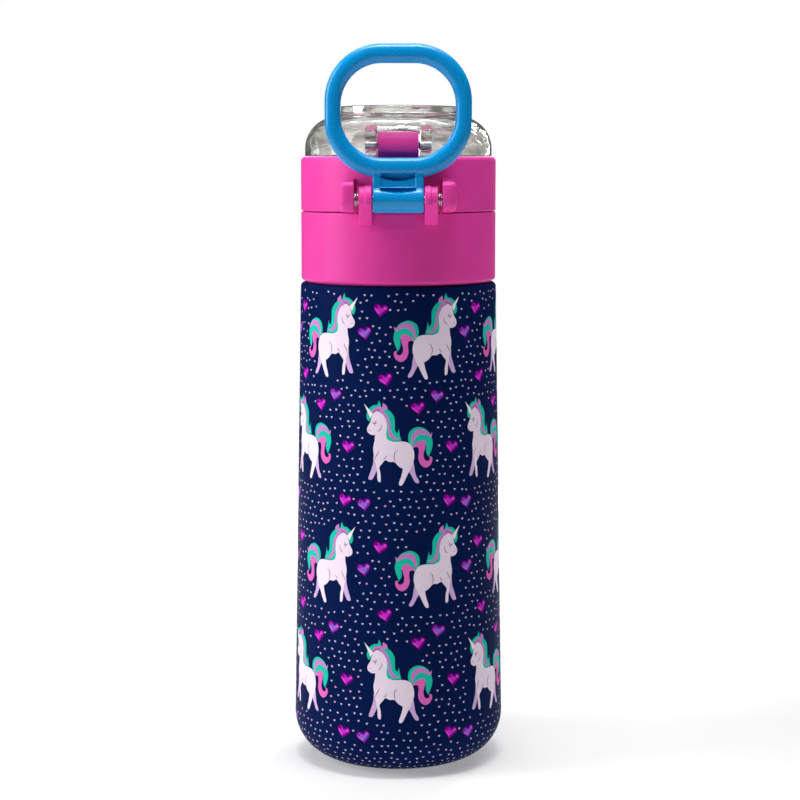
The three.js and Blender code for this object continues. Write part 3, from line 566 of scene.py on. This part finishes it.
# The tiny hearts stand on a loose lattice, each moved a little at random, where no larger motif is.
dice = np.random.default_rng(11)
spacing, columns, turn_jitter, height_jitter, tilt_jitter = 3.2, 73, 1.1, 0.6, 25
clear_of_top, clear_of_unicorn, clear_of_gem, unicorn_reach = 2.2, 1.35, 3.5, 17
tiny_width, tiny_points = 0.88, 12
rows = np.arange(-10.0, 172.0, spacing * 0.86)
spot_angle = (np.arange(columns)[None, :] + 0.5 * (np.arange(len(rows))[:, None] % 2)) * 360 / columns
spot_angle = spot_angle + dice.uniform(-turn_jitter, turn_jitter, spot_angle.shape)
spot_height = rows[:, None] + dice.uniform(-height_jitter, height_jitter, spot_angle.shape)
spots = np.stack([spot_angle.ravel(), spot_height.ravel()], 1)
free = spots[:, 1] < shell_top_z - clear_of_top
mean_r = 37.0
outline_points = np.concatenate([flat for _, _, flat, _ in unicorn_films])
for angle, height, way in unicorn_places:
    off = (spots[:, 0] - angle + 180) % 360 - 180
    here = np.stack([way * np.radians(off) * mean_r, spots[:, 1] - height], 1)
    near = np.where((np.abs(here) < unicorn_reach).all(1) & free)[0]
    gap = np.linalg.norm(here[near][:, None] - outline_points[None], axis=-1).min(1)
    free[near[gap < clear_of_unicorn]] = False
for angle, height, _, _ in gem_places:
    off = (spots[:, 0] - angle + 180) % 360 - 180
    free &= np.hypot(np.radians(off) * mean_r, spots[:, 1] - height) > clear_of_gem
tiny_t = np.linspace(0, 2 * np.pi, tiny_points, endpoint=False)
tiny = np.concatenate([heart(tiny_t), [[0, 0]]]) * tiny_width
tiny_fan = [[i, (i + 1) % tiny_points, tiny_points] for i in range(tiny_points)]
tiny_tints = [ink(214, 200, 240), ink(228, 208, 244), ink(200, 188, 232), ink(232, 170, 226)]
tiny_kind = dice.choice(4, len(spots), p=[0.4, 0.3, 0.22, 0.08])
tiny_tilt = dice.uniform(-tilt_jitter, tilt_jitter, len(spots))
film_piece("print_tiny_hearts", [
    (on_shell(*spots[i], *spun(tiny, tiny_tilt[i]).T, film_lift), tiny_fan, tiny_tints[tiny_kind[i]])
    for i in np.where(free)[0]])


# Inner liner: the stainless steel vessel, spun and brushed, with the rolled screw thread on its neck.

brushed_steel = Finish("brushed_steel", Metallic=1.0)
lines = brushed_steel.noise(0.5, 4, (0.03, 0.03, 1.6))
brushed_steel.feed(
    Base_Color=brushed_steel.blend(lines, (0.52, 0.53, 0.54, 1), (0.66, 0.66, 0.67, 1)),
    Roughness=0.2 + lines * 0.2)
brushed_steel.bump(lines, 0.01)


def thread(wall_r, way, low_z, pitch=4.0, turns=1.25, height=1.1):
    """A screw thread: a rounded ridge of half-width w(s) and height h(s) carried up a helix, r = wall + h,
    z = low + pitch a / 2 pi. It sinks into the wall at both ends."""
    s = np.linspace(0, 1, int(150 * turns))[:, None]
    across = np.linspace(-1, 1, 13)[None, :]
    fade = np.clip(np.minimum(s, 1 - s) / 0.07, 0, 1)
    fade = fade * fade * (3 - 2 * fade)
    crown = np.clip((1.05 - np.abs(across)) / 0.5, 0, 1)
    rise = height * fade * crown * crown * (3 - 2 * crown)
    angle = 2 * np.pi * turns * s + 0 * across
    r = wall_r + way * (rise - 0.12)
    z = low_z + pitch * turns * s + across
    skin = np.stack([r * np.cos(angle), r * np.sin(angle), z], -1)
    back_r = wall_r - way * 0.3
    back = np.stack([back_r * np.cos(angle), back_r * np.sin(angle), z], -1)[:, ::-1]
    ring = np.concatenate([skin, back], 1)
    points, faces = lattice(ring, False, True)
    n = ring.shape[1]
    return points, faces + [list(range(n)), list(range(len(points) - n, len(points)))]


neck_r, neck_top_z, liner_wall = 29.0, 194.0, 0.5
liner_outline = np.concatenate([
    rounded([(0, 7), (33.4, 7, 14), (31.9, 163, 6), (neck_r, 170, 3), (neck_r, neck_top_z)], closed=False),
    rounded([(neck_r - liner_wall, neck_top_z), (neck_r - liner_wall, 169.8, 3), (31.4, 162.8, 6),
             (32.9, 7.5, 13.5), (0, 7.5)], closed=False)])
liner = made("liner_steel", joined(turned(liner_outline), thread(neck_r, 1, 180)), brushed_steel)
fitted(liner, "inner_liner", "bottle")

# Base plate: a pressed steel disc let into the shell's turned-under edge. The bottle stands on it.

base_ring = made("base_plate_steel", turned(rounded([
    (0, 0), (21.0, 0, 0.5), (21.0, 1.7, 0.2), (24.5, 1.7), (24.5, 2.6), (0, 2.6)], closed=False)),
    brushed_steel)
fitted(base_ring, "base_plate", "bottle")

# Vacuum seal: the bead of getter solder that closes the evacuated wall, dull grey and slightly lumpy.

seal_metal = Finish("seal_solder", Metallic=1.0)
lumps = seal_metal.noise(1.1, 4)
seal_metal.feed(Base_Color=seal_metal.blend(lumps, (0.26, 0.26, 0.27, 1), (0.4, 0.4, 0.41, 1)),
                Roughness=0.42 + lumps * 0.2)
seal_metal.bump(lumps, 0.12)
seal_bead = made("vacuum_seal_bead", turned(rounded([
    (0, 2.9), (3.0, 2.9, 0.3), (3.0, 4.3, 0.9), (0, 4.3)], closed=False), 64), seal_metal)
fitted(seal_bead, "vacuum_seal", "bottle")


# Neck gasket: a flat silicone washer that the collar presses on the neck's rim.

silicone = Finish("milky_silicone", Roughness=0.5, Subsurface_Weight=0.25, Subsurface_Scale=0.002)
silicone.feed(Base_Color=silicone.blend(silicone.noise(5, 3), (0.80, 0.80, 0.77, 1), (0.87, 0.87, 0.85, 1)),
              Roughness=0.44 + silicone.noise(0.9, 3) * 0.16)
silicone.bump(silicone.noise(0.25, 2), 0.008)
neck_washer = made("neck_gasket_ring", turned(rounded([
    (26, 194.3, 0.25), (30.6, 194.3, 0.25), (30.6, 195.1, 0.25), (26, 195.1, 0.25)])), silicone)
fitted(neck_washer, "neck_gasket", "neck_seal")


# Collar: moulded pink plastic, a plain ring that screws on to the neck. Two ears stand on it at the back
# and carry the steel hinge pin; a ledge at the front of its mouth catches the push button's hook.

pink_plastic = Finish("pink_moulded_plastic", Specular_IOR_Level=0.2)
flow = pink_plastic.noise(14, 3)
pink_plastic.feed(
    Base_Color=pink_plastic.blend(flow, ink(233, 62, 163), ink(238, 70, 170)),
    Roughness=0.36 + flow * 0.07 + pink_plastic.noise(0.5, 2) * 0.06)
pink_plastic.bump(pink_plastic.noise(0.35, 2), 0.006)


def drawn_in(outline, amount):
    """An outline moved inwards by an amount along the mean of its neighbouring sides' normals."""
    to_next = np.roll(outline, -1, 0) - outline
    length = np.linalg.norm(to_next, axis=1, keepdims=True)
    normal = np.stack([-to_next[:, 1], to_next[:, 0]], 1) / np.maximum(length, 1e-9)
    pair = normal + np.roll(normal, 1, 0)
    mitre = 2 * pair / np.maximum(np.sum(pair * pair, 1, keepdims=True), 1.0)
    area = np.sum(outline[:, 0] * np.roll(outline[:, 1], -1) - np.roll(outline[:, 0], -1) * outline[:, 1])
    return outline + mitre * amount * np.sign(area)


def slab(outline, low_x, high_x, edge=0.5, far_edge=None, rounds=4):
    """A plate: an outline in Y and Z carried along X, drawn in at each end on a quarter circle of that end's
    edge radius."""
    turn = np.linspace(0, np.pi / 2, rounds + 1)
    inset, reach = 1 - np.sin(turn), 1 - np.cos(turn)
    far = edge if far_edge is None else far_edge
    stations = [(low_x + edge * d, edge * i) for d, i in zip(reach, inset)]
    stations += [(high_x - far * d, far * i) for d, i in zip(reach[::-1], inset[::-1])]
    rings = []
    for x, amount in stations:
        flat = drawn_in(outline, amount)
        rings.append(np.concatenate([np.full((len(flat), 1), x), flat], 1))
    points, faces = lattice(np.stack(rings), False, True)
    n = len(outline)
    return points, faces + [list(range(n)), list(range(len(points) - n, len(points)))]


def pair(outline, inner_x, outer_x, edge=0.5, outer_edge=None):
    """The same plate on both sides of the hinge."""
    far = edge if outer_edge is None else outer_edge
    return slab(outline, inner_x, outer_x, edge, far), slab(outline, -outer_x, -inner_x, far, edge)


def arc(centre, radius, start, end, step=7.5):
    """Points on a circle from one angle to another, in degrees."""
    t = np.radians(np.linspace(start, end, max(2, round(abs(end - start) / step)) + 1))
    return np.stack([centre[0] + radius * np.cos(t), centre[1] + radius * np.sin(t)], 1)


def bar(radius, low_x, high_x, y, z, edge=0.2, sides=40):
    """A round bar along X with softly broken ends."""
    return slab(arc((y, z), radius, 0, 360 - 360 / sides, 360 / sides), low_x, high_x, edge)


def finer(outline, spacing):
    """The same closed outline with its long sides divided."""
    side = np.linalg.norm(np.diff(outline, axis=0, append=outline[:1]), axis=1)
    run = np.concatenate([[0], np.cumsum(side)])
    wanted = np.unique(np.concatenate([run[:-1], np.arange(0, run[-1], spacing)]))
    closed = np.concatenate([outline, outline[:1]])
    return np.stack([np.interp(wanted, run, closed[:, k]) for k in (0, 1)], 1)


def ease(low, high, value):
    """0 below low, 1 above high, and the smooth cubic between."""
    t = np.clip((value - low) / (high - low), 0, 1)
    return t * t * (3 - 2 * t)


hinge_y, hinge_z = -39.9, 204.3
ear_r, ear_in_x, ear_out_x = 4.6, 9.0, 13.5
collar_top_z = 199.6
ear_outline = np.concatenate([
    [(-31.5, collar_top_z - 0.3)],
    arc((hinge_y, hinge_z), ear_r, -51.6, 191.5),
    rounded([(-44.2, 201.0), (-38.3, 197.6, 2.0), (-34.8, 195.6, 1.0), (-31.5, 195.6)], closed=False)[1:]])
collar_outline = finer(rounded([
    (31, 174.5, 0.1), (33.4, 174.5, 0.1), (33.6, 174.9, 0.1), (35, 174.9, 1.3),
    (35, collar_top_z, 0.6), (32.4, collar_top_z, 0.2), (32.4, 197.4), (25, 197.4, 0.5), (25, 195.4, 0.3),
    (31, 195.4)]), 0.5)
collar_ring = turned(collar_outline, 360)
ledge = [(31.0, 198.6), (33.4, 198.6), (33.4, 199.5), (31.0, 199.5)]
x, y, z = collar_ring[0].T
outside = ease(34.5, 34.9, np.hypot(x, y)) * (y < 0)
recess_depth = 0.1
recess = recess_depth * outside * ease(194.8, 195.1, z) * (1 - ease(5.6, 6.2, np.abs(x)))
collar_ring[0][:, :2] *= (1 - recess / np.hypot(x, y))[:, None]
ear_rib = np.concatenate([
    arc((hinge_y, hinge_z), ear_r + 0.45, 100, 200), [(-42.6, 201.6), (hinge_y, hinge_z)]])
collar = made("collar_moulding", joined(
    collar_ring, thread(31, -1, 178), slab(np.array(ledge), -6, 6, 0.15),
    *pair(ear_outline, ear_in_x, ear_out_x, 0.4), *pair(ear_rib, ear_in_x + 0.05, 11.4, 0.4)), pink_plastic)
fitted(collar, "collar", "collar")

# Hinge pin and torsion springs: drawn spring steel. Each spring is one and a half turns round the pin with
# a leg against the lid and a leg against the collar.

spring_steel = Finish("spring_steel", Metallic=1.0)
drawn = spring_steel.noise(0.35, 3, (0.15, 1, 1))
spring_steel.feed(Base_Color=spring_steel.blend(drawn, (0.58, 0.58, 0.59, 1), (0.74, 0.74, 0.75, 1)),
                  Roughness=0.16 + drawn * 0.16)
spring_steel.bump(drawn, 0.01)


def wire(path, radius, sides=12):
    """A round wire along a path: at each point a circle in the plane square to the path, kept from twisting
    by carrying its first direction along."""
    path = np.asarray(path, float)
    along = np.gradient(path, axis=0)
    along /= np.linalg.norm(along, axis=1)[:, None]
    side = np.cross(along[0], (0.31, 0.17, 0.93))
    sides_at = []
    for ahead in along:
        side = side - ahead * (side @ ahead)
        side = side / np.linalg.norm(side)
        sides_at.append(side)
    first = np.array(sides_at)
    second = np.cross(along, first)
    turn = np.linspace(0, 2 * np.pi, sides, endpoint=False)
    ring = path[:, None] + radius * (
        np.cos(turn)[None, :, None] * first[:, None] + np.sin(turn)[None, :, None] * second[:, None])
    points, faces = lattice(ring, False, True)
    return points, faces + [list(range(sides)), list(range(len(points) - sides, len(points)))]


hinge_pin = made("hinge_pin_steel", bar(1.5, -18.4, 18.4, hinge_y, hinge_z, 0.3), spring_steel)
fitted(hinge_pin, "hinge_pin", "collar")

coil_r, wire_r, spring_in_x, spring_out_x, spring_turns = 2.4, 0.25, 13.8, 14.8, 1.5
leg_y, leg_rise = -34.4, 4.7
for side, way in (("left", -1), ("right", 1)):
    s = np.linspace(0, 1, 90)
    wound = np.pi / 2 + 2 * np.pi * spring_turns * s
    coil = np.stack([way * (spring_in_x + (spring_out_x - spring_in_x) * s),
                     hinge_y + coil_r * np.cos(wound), hinge_z + coil_r * np.sin(wound)], 1)
    leg = np.linspace(0, 1, 12)[:, None]
    lid_leg = (1 - leg) * [way * spring_in_x, leg_y, hinge_z + leg_rise] + leg * coil[0]
    collar_leg = (1 - leg) * coil[-1] + leg * [way * spring_out_x, leg_y, hinge_z - leg_rise]
    spring = made(f"hinge_spring_wire_{side}", wire(
        np.concatenate([lid_leg[:-1], coil, collar_leg[1:]]), wire_r), spring_steel)
    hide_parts(f"hinge_spring_{side}")
    way * 13.9 * MM
    way * 14.7 * MM
    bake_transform(spring)


# Lid ring: the same pink plastic, a ring with a shallow deck. Two lobes run out to the hinge pin on either
# side of the collar's ears, and a barrel on the deck holds the dome's pin. The front has the button's window.

def carved(piece, *tools, join=()):
    """The piece with the tools' shapes cut out of it and the joined shapes made one with it."""
    for operation, shapes in (("DIFFERENCE", tools), ("UNION", join)):
        for shape in shapes:
            cutter = made("cutter", shape, pink_plastic)
            change = piece.modifiers.new("change", "BOOLEAN")
            change.operation, change.solver, change.object = operation, "EXACT", cutter
            depsgraph = bpy.context.evaluated_depsgraph_get()
            result = bpy.data.meshes.new_from_object(piece.evaluated_get(depsgraph))
            piece.modifiers.clear()
            old, piece.data = piece.data, result
            bpy.data.meshes.remove(old)
            bpy.data.objects.remove(cutter)
    while len(piece.data.materials) > 1:
        piece.data.materials.pop(index=len(piece.data.materials) - 1)
    piece.data.shade_smooth()
    piece.data.set_sharp_from_angle(angle=math.radians(35))
    return piece


def taken(piece):
    """A piece's (vertices, faces) in millimetres, to be built into another; the piece itself is removed."""
    points = np.zeros(3 * len(piece.data.vertices), np.float32)
    piece.data.vertices.foreach_get("co", points)
    part = points.reshape(-1, 3) / MM, [list(face.vertices) for face in piece.data.polygons]
    bpy.data.objects.remove(piece)
    return part


def brick(low, high, edge=0.3):
    """A block between two corners with softly broken edges."""
    outline = rounded([(low[1], low[2], edge), (high[1], low[2], edge), (high[1], high[2], edge),
                       (low[1], high[2], edge)], step=20)
    return slab(outline, low[0], high[0], 0.6 * edge)


def post(radius, x, low_z, high_z, sides=40):
    """A plain round post along Z."""
    points, faces = turned(np.array([(0, low_z), (radius, low_z), (radius, high_z), (0, high_z)]), sides)
    return points + (x, 0, 0), faces


lid_low_z, lid_top_z, deck_top_z, lid_r = 199.9, 219.0, 217.6, 35.0
dome_pin_y, dome_pin_z, barrel_r = -33.0, 222.9, 4.6
lid_outline = rounded([
    (32.6, lid_low_z, 0.2), (lid_r, lid_low_z, 0.5), (lid_r, lid_top_z, 1.4), (31, lid_top_z, 0.4),
    (31, deck_top_z, 0.4), (10.2, deck_top_z, 0.3), (10.2, 215.6), (32.6, 215.6)])
lobe_r, lobe_top_z, lobe_in_x, lobe_out_x, barrel_half = 4.3, 211.5, 15.1, 19.9, 7.05
lobe_outline = np.concatenate([
    [(-27.5, hinge_z - lobe_r)],
    arc((hinge_y, hinge_z), lobe_r, -90, -180),
    rounded([(-44.2, 206), (-44.2, 210.0, 1.6), (-36.0, lobe_top_z, 3), (-27.5, lobe_top_z)],
            closed=False)[1:]])
barrel_outline = np.concatenate([
    [(-29, deck_top_z - 1), (-29, dome_pin_z)],
    arc((dome_pin_y, dome_pin_z), barrel_r, 0, 214),
    [(-34.2, lid_top_z - 1.5), (-34.2, deck_top_z - 1)]])
lid_ring = made("turned_ring", turned(lid_outline, 256), pink_plastic)
window_low, window_high, valve_x, valve_hole_r = (-6.6, 28, 203.6), (6.6, 37, 211.4), 15, 2.3
carved(lid_ring, brick(window_low, window_high, 0.8), post(valve_hole_r, valve_x, 214, 219))
lid_ring = made("lid_ring_moulding", joined(
    taken(lid_ring), *pair(lobe_outline, lobe_in_x, lobe_out_x, 0.3, 2.0),
    slab(barrel_outline, -barrel_half, barrel_half, 0.35)), pink_plastic)
fitted(lid_ring, "lid_ring", "lid")

# Lid plug and its gasket: the inner moulding under the deck, whose skirt reaches into the collar's mouth,
# and the silicone ring with two soft lips that seals it there.

plug = made("lid_plug_moulding", turned(rounded([
    (12.4, 213.3, 0.2), (21.5, 213.3, 0.8), (21.5, 195.5, 0.3), (24.2, 195.5, 0.3), (24.2, 196.1, 0.2),
    (23.2, 196.1), (23.2, 213.3, 0.6), (28.5, 213.3, 0.4), (28.5, 215.3, 0.4), (12.4, 215.3, 0.3)])),
    pink_plastic)
carved(plug, post(valve_hole_r, valve_x, 212, 217))
fitted(plug, "lid_plug", "lid")

lips = made("lid_gasket_lips", turned(rounded([
    (23.5, 196.4, 0.2), (24.4, 196.4, 0.15), (24.7, 197.0, 0.15), (24.2, 197.6, 0.2), (24.7, 198.2, 0.15),
    (24.4, 199.0, 0.15), (23.5, 199.0, 0.2)])), silicone)
fitted(lips, "lid_gasket", "lid")

# Spout: clear moulded plastic that is pushed up through the deck, with a silicone gasket round it and a
# small duckbill vent valve beside it.

clear_plastic = Finish("clear_moulded_plastic", Transmission_Weight=0.95, IOR=1.49)
ripple = clear_plastic.noise(9, 2, (0.5, 0.5, 1.4))
relief_and_painted_reflection_streaks = clear_plastic.noise(5, 3, (0.4, 0.4, 1.5))
# The grey streaks in the base colour are painted reflections of dark surroundings. The same noise also gives
# the surface a faint flow relief.
clear_plastic.feed(
    Base_Color=clear_plastic.blend(relief_and_painted_reflection_streaks * 4 - 1.5, (0.56, 0.58, 0.54, 1), (0.97, 0.975, 0.96, 1)),
    Roughness=0.015 + clear_plastic.noise(3, 3) * 0.03)
clear_plastic.bump(ripple + relief_and_painted_reflection_streaks * 0.35, 0.7)

spout = made("spout_clear", turned(rounded([
    (6.6, 213.4, 0.5), (12, 213.4, 0.3), (12, 215.3, 0.3), (8.2, 215.3), (8.2, 228.6, 0.7),
    (6.6, 228.6, 0.7)]), 96), clear_plastic)
fitted(spout, "spout", "lid")
spout.visible_shadow = False

spout_washer = made("spout_gasket_ring", turned(rounded([
    (8.5, 215.9, 0.3), (9.9, 215.9, 0.3), (9.9, 217.3, 0.3), (8.5, 217.3, 0.3)]), 96), silicone)
fitted(spout_washer, "spout_gasket", "lid")

valve_points, valve_faces = turned(rounded([
    (0.5, 212), (1.2, 212, 0.2), (2.0, 213), (2.0, 217.9), (3.3, 217.9, 0.1), (3.3, 218.7, 0.35),
    (0.5, 218.7)]), 48)
valve = made("vent_valve_silicone", (valve_points + (valve_x, 0, 0), valve_faces), silicone)
fitted(valve, "vent_valve", "lid")

# Dome pin: a steel pin through the barrel and the dome's ears, bright steel where it turns in the ears and
# painted near-black in the middle as painted shade for the gaps beside the barrel.

pin_steel_painted_shade = Finish("pin_steel_painted_shade", Metallic=1.0)
stain = pin_steel_painted_shade.noise(0.6, 3)
along_x = pin_steel_painted_shade.node("SeparateXYZ", sockets={0: pin_steel_painted_shade.place()}, output="X")
from_middle = pin_steel_painted_shade.node("Math", {"operation": "ABSOLUTE"}, {0: along_x})
bright_end = pin_steel_painted_shade.node("MapRange", {"interpolation_type": "SMOOTHSTEP"}, {
    "Value": from_middle, "From Min": 7.6, "From Max": 8.6})
# Within 7.6 mm of the middle the pin is painted near-black, a painted shade. From 8.6 mm outwards it is plain
# bright steel.
painted_shade_black = pin_steel_painted_shade.blend(stain, (0.03, 0.03, 0.035, 1), (0.09, 0.09, 0.095, 1))
plain_bright_steel = pin_steel_painted_shade.blend(stain, (0.5, 0.5, 0.51, 1), (0.72, 0.72, 0.73, 1))
pin_steel_painted_shade.feed(Base_Color=pin_steel_painted_shade.blend(bright_end, painted_shade_black, plain_bright_steel), Roughness=0.22 + stain * 0.16)
dome_pin = made("dome_pin_painted_shade", bar(1.2, -11.1, 11.1, dome_pin_y, dome_pin_z, 0.25), pin_steel_painted_shade)
fitted(dome_pin, "dome_pin", "lid")

# Button spring: a small compression coil between the lid's skirt and the back of the push button.

spring_r, spring_start, spring_long, spring_z, coils = 2.6, 23.95, 5.05, 207.5, 4
s = np.linspace(0, 1, 240)
turn = 2 * np.pi * coils * s
coil = np.stack([
    spring_r * np.cos(turn), spring_start + spring_long * s, spring_z + spring_r * np.sin(turn)], 1)
button_spring = made("button_spring_wire", wire(coil, wire_r), spring_steel)
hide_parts("button_spring")
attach(button_spring, "lid")
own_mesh(button_spring)


# Push button: moulded blue plastic in the front of the lid, with a flange that holds it in its window and
# an arm that hooks under the collar's ledge.

blue_plastic = Finish("blue_moulded_plastic", Specular_IOR_Level=0.42)
flow = blue_plastic.noise(12, 3)
blue_plastic.feed(
    Base_Color=blue_plastic.blend(flow, ink(0, 142, 212), ink(0, 150, 220)),
    Roughness=0.2 + flow * 0.08 + blue_plastic.noise(0.5, 2) * 0.06)
blue_plastic.bump(blue_plastic.noise(0.6, 2), 0.004)

face_r, face_back = 36.6, 0.3
push = brick((-6.2, 30.5, 204.0), (6.2, 36.9, 211.0), 0.9)
bulge = push[0].copy()
front = bulge[:, 1] > 33
bulge[front, 1] -= face_r - np.sqrt(face_r ** 2 - bulge[front, 0] ** 2) + face_back
button = made("push_button", joined(
    (bulge, push[1]), brick((-7.6, 29.6, 202.9), (7.6, 31, 212.1), 0.25),
    brick((-4, 29.2, 197.8), (4, 30.4, 204.5), 0.25), brick((-4, 29.8, 197.8), (4, 30.6, 198.4), 0.1)),
    blue_plastic)
fitted(button, "lid_button", "button")


# Dome: a clear moulded cap with a raised top disc and a ring inside it. Two ears at the back hold the pin,
# the wall is cut away round the barrel, and a snap tab hangs over the front of the lid.

dome_r, dome_wall, dome_low_z, dome_shoulder_z, dome_top_z = 33.5, 2.0, 219.3, 233.3, 236.9
disc_r, dome_fillet, under_z = 21.7, 11.4, 234.7
dome_outline = np.concatenate([
    rounded([(0, under_z), (8.8, under_z, 0.4), (8.8, 228, 0.4), (10.2, 228, 0.4), (10.2, under_z, 0.6),
             (disc_r - dome_wall, under_z, 0.8), (disc_r - dome_wall, dome_shoulder_z - dome_wall, 0.6),
             (dome_r - dome_wall, dome_shoulder_z - dome_wall, dome_fillet - dome_wall),
             (dome_r - dome_wall, dome_low_z)], closed=False, step=6),
    rounded([(dome_r - 0.8, dome_low_z), (dome_r, dome_low_z, 0.4),
             (dome_r - 0.1, dome_shoulder_z, dome_fillet), (disc_r, dome_shoulder_z, 0.8),
             (disc_r, dome_top_z, 0.8), (0, dome_top_z)], closed=False, step=6)])
clear_r = barrel_r + 0.5
dome_ear = np.concatenate([
    [(-29.8, dome_pin_z - 3.5)],
    arc((dome_pin_y, dome_pin_z), 3.5, -90, -180),
    rounded([(-36.5, 224), (-36.3, 229.6, 4.5), (-28.2, 229.6)], closed=False)[1:]])
tab = np.array([
    (32.2, 219.5), (35.4, 219.5), (35.4, 214.6), (36.7, 214.6), (37.3, 219.3), (36.6, 221.8), (32.2, 222.8)])
dome = made("dome_clear", turned(dome_outline, 192), clear_plastic)
gap_half, ear_end, pin_hole_r, plain_edge = 7.4, 11.4, 1.26, 0.02
carved(dome, bar(clear_r, -gap_half, gap_half, dome_pin_y, dome_pin_z, plain_edge),
       brick((-gap_half, -38, 218), (gap_half, -28, 222.9), plain_edge),
       join=[*pair(dome_ear, gap_half, ear_end, 0.6), slab(tab, -7, 7, 0.4)])
carved(dome, bar(pin_hole_r, -12, 12, dome_pin_y, dome_pin_z, plain_edge))
fitted(dome, "dome", "dome")

# Spout seal: the grey silicone stopper on a stem under the dome, which closes the spout.

grey_silicone = Finish("grey_silicone", Specular_IOR_Level=0.4)
grey_silicone.feed(
    Base_Color=grey_silicone.blend(grey_silicone.noise(4, 3), ink(128, 130, 128), ink(158, 160, 157)),
    Roughness=0.4 + grey_silicone.noise(0.9, 3) * 0.16)
grey_silicone.bump(grey_silicone.noise(0.25, 2), 0.008)

stopper = made("spout_seal_silicone", turned(rounded([
    (0, 227.8), (5.6, 227.8, 0.5), (5.9, 228.9), (8.4, 228.9, 0.4), (8.4, 231, 0.5), (3, 231, 0.5),
    (3, 234.4), (0, 234.4)], closed=False), 96), grey_silicone)
fitted(stopper, "spout_seal", "dome")


# Carry loop: one blue moulding, a rounded square ring on a short neck that ends in a knuckle on the hinge
# pin. The neck has a rail down each side and two recessed slots across its back.

loop_y, loop_thick = -40.1, 5.0


def rounded_square(half, low, high, radius, count=240):
    """A square with corners of a radius, as evenly many points on each arc and each side, all round."""
    sharp = [(half, low, radius), (half, high, radius), (-half, high, radius), (-half, low, radius)]
    arcs = rounded(sharp, step=90 / 40)
    per_arc = len(arcs) // 4
    side_steps = count // 4 - per_arc + 1
    sides = []
    for k in range(4):
        start, end = arcs[(k + 1) * per_arc - 1], arcs[((k + 1) % 4) * per_arc]
        along = np.linspace(0, 1, side_steps + 1)[1:-1, None]
        sides += [arcs[k * per_arc:(k + 1) * per_arc], start + (end - start) * along]
    return np.concatenate(sides)


def loop_ring():
    """The ring: a soft box section, |a|^n + |b|^n = 1 with n = 2.2, between the outer and inner outlines."""
    power = 2.2
    outer = rounded_square(half=25.0, low=211.9, high=256.9, radius=19.3)
    inner = rounded_square(half=19.5, low=218.6, high=250.3, radius=14.0)
    w = np.linspace(0, 2 * np.pi, 56, endpoint=False)
    across, depth = (np.sign(f) * np.abs(f) ** (2 / power) for f in (np.cos(w), np.sin(w)))
    middle, half = (outer + inner) / 2, (outer - inner) / 2
    flat = middle[:, None] + half[:, None] * across[None, :, None]
    y = loop_y + loop_thick / 2 * depth[None, :] + 0 * flat[..., 0]
    return lattice(np.stack([flat[..., 0], y, flat[..., 1]], -1))


def loop_neck(half_width=8.7, back_y=-42.1, front_y=-38.1, knuckle_r=4.5):
    """The neck: a closed section in Y and Z carried along X. Between the rails its back face is sunk a
    little, and two slots go deeper: one under the ring and one above the knuckle, each with a straight upper
    edge and a lower edge that rises as the square of x."""
    quarter, edge, columns = np.linspace(0, np.pi / 2, 5), 0.6, 75
    end_x, end_draw = half_width - edge * (1 - np.cos(quarter)), edge * (1 - np.sin(quarter))
    flat_x = half_width - 0.7
    x = np.concatenate([-end_x, np.linspace(-flat_x, flat_x, columns), end_x[::-1]])
    draw = np.concatenate([end_draw, np.zeros(columns), end_draw[::-1]])
    up = np.linspace(206.0, 216.5, 130)
    bulge = hinge_y - np.sqrt(np.clip(knuckle_r ** 2 - (up - hinge_z) ** 2, 0, None))
    face = np.stack([np.minimum(back_y, bulge), up], 1)[::-1]
    begin = math.degrees(math.acos((face[-1, 0] - hinge_y) / knuckle_r))
    circle = arc((hinge_y, hinge_z), knuckle_r, begin + 4, 426, 5)
    front = [(front_y, 209.0), (front_y, 216.5)]
    section = np.concatenate([face, circle, front])
    z, y = section[None, :, 1], section[None, :, 0]
    x2 = x[:, None]
    low_1, low_2 = 210.6 + 1.3 * (x2 / 6) ** 2, 206.4 + 0.9 * (x2 / 6) ** 2
    panel = 0.3 * ease(208.5, 208.8, z) * (1 - ease(213.2, 213.4, z))
    slot_1 = 2.2 * ease(low_1, low_1 + 0.4, z) * (1 - ease(213.3, 213.5, z))
    slot_2 = 1.8 * ease(low_2, low_2 + 0.5, z) * (1 - ease(208.1, 208.35, z))
    sunk = (panel + slot_1 + slot_2) * (1 - ease(5.8, 6.2, np.abs(x2)))
    y = y + sunk * (y < -40.5)
    inset = draw[:, None]
    y = y - np.sign(y - loop_y) * inset
    z = z + inset * (z < hinge_z) + 0 * y
    points, faces = lattice(np.stack([x2 + 0 * y, y, z], -1), False, True)
    n = len(section)
    return points, faces + [list(range(n)), list(range(len(points) - n, len(points)))]


ring = made("loop_ring", loop_ring(), blue_plastic)
notch_x = np.linspace(-6, 6, 17)
notch_low = np.stack([notch_x, 210.6 + 1.3 * (notch_x / 6) ** 2], 1)
notch = np.concatenate([[(6, 213.5), (-6, 213.5)], notch_low[1:-1]])
notch_points, notch_faces = slab(notch, -44, loop_y + 0.3, 0.02)
carved(ring, (notch_points[:, [1, 0, 2]], notch_faces))
loop = made("carry_loop_moulding", joined(taken(ring), loop_neck()), blue_plastic)
fitted(loop, "carry_loop", "loop")
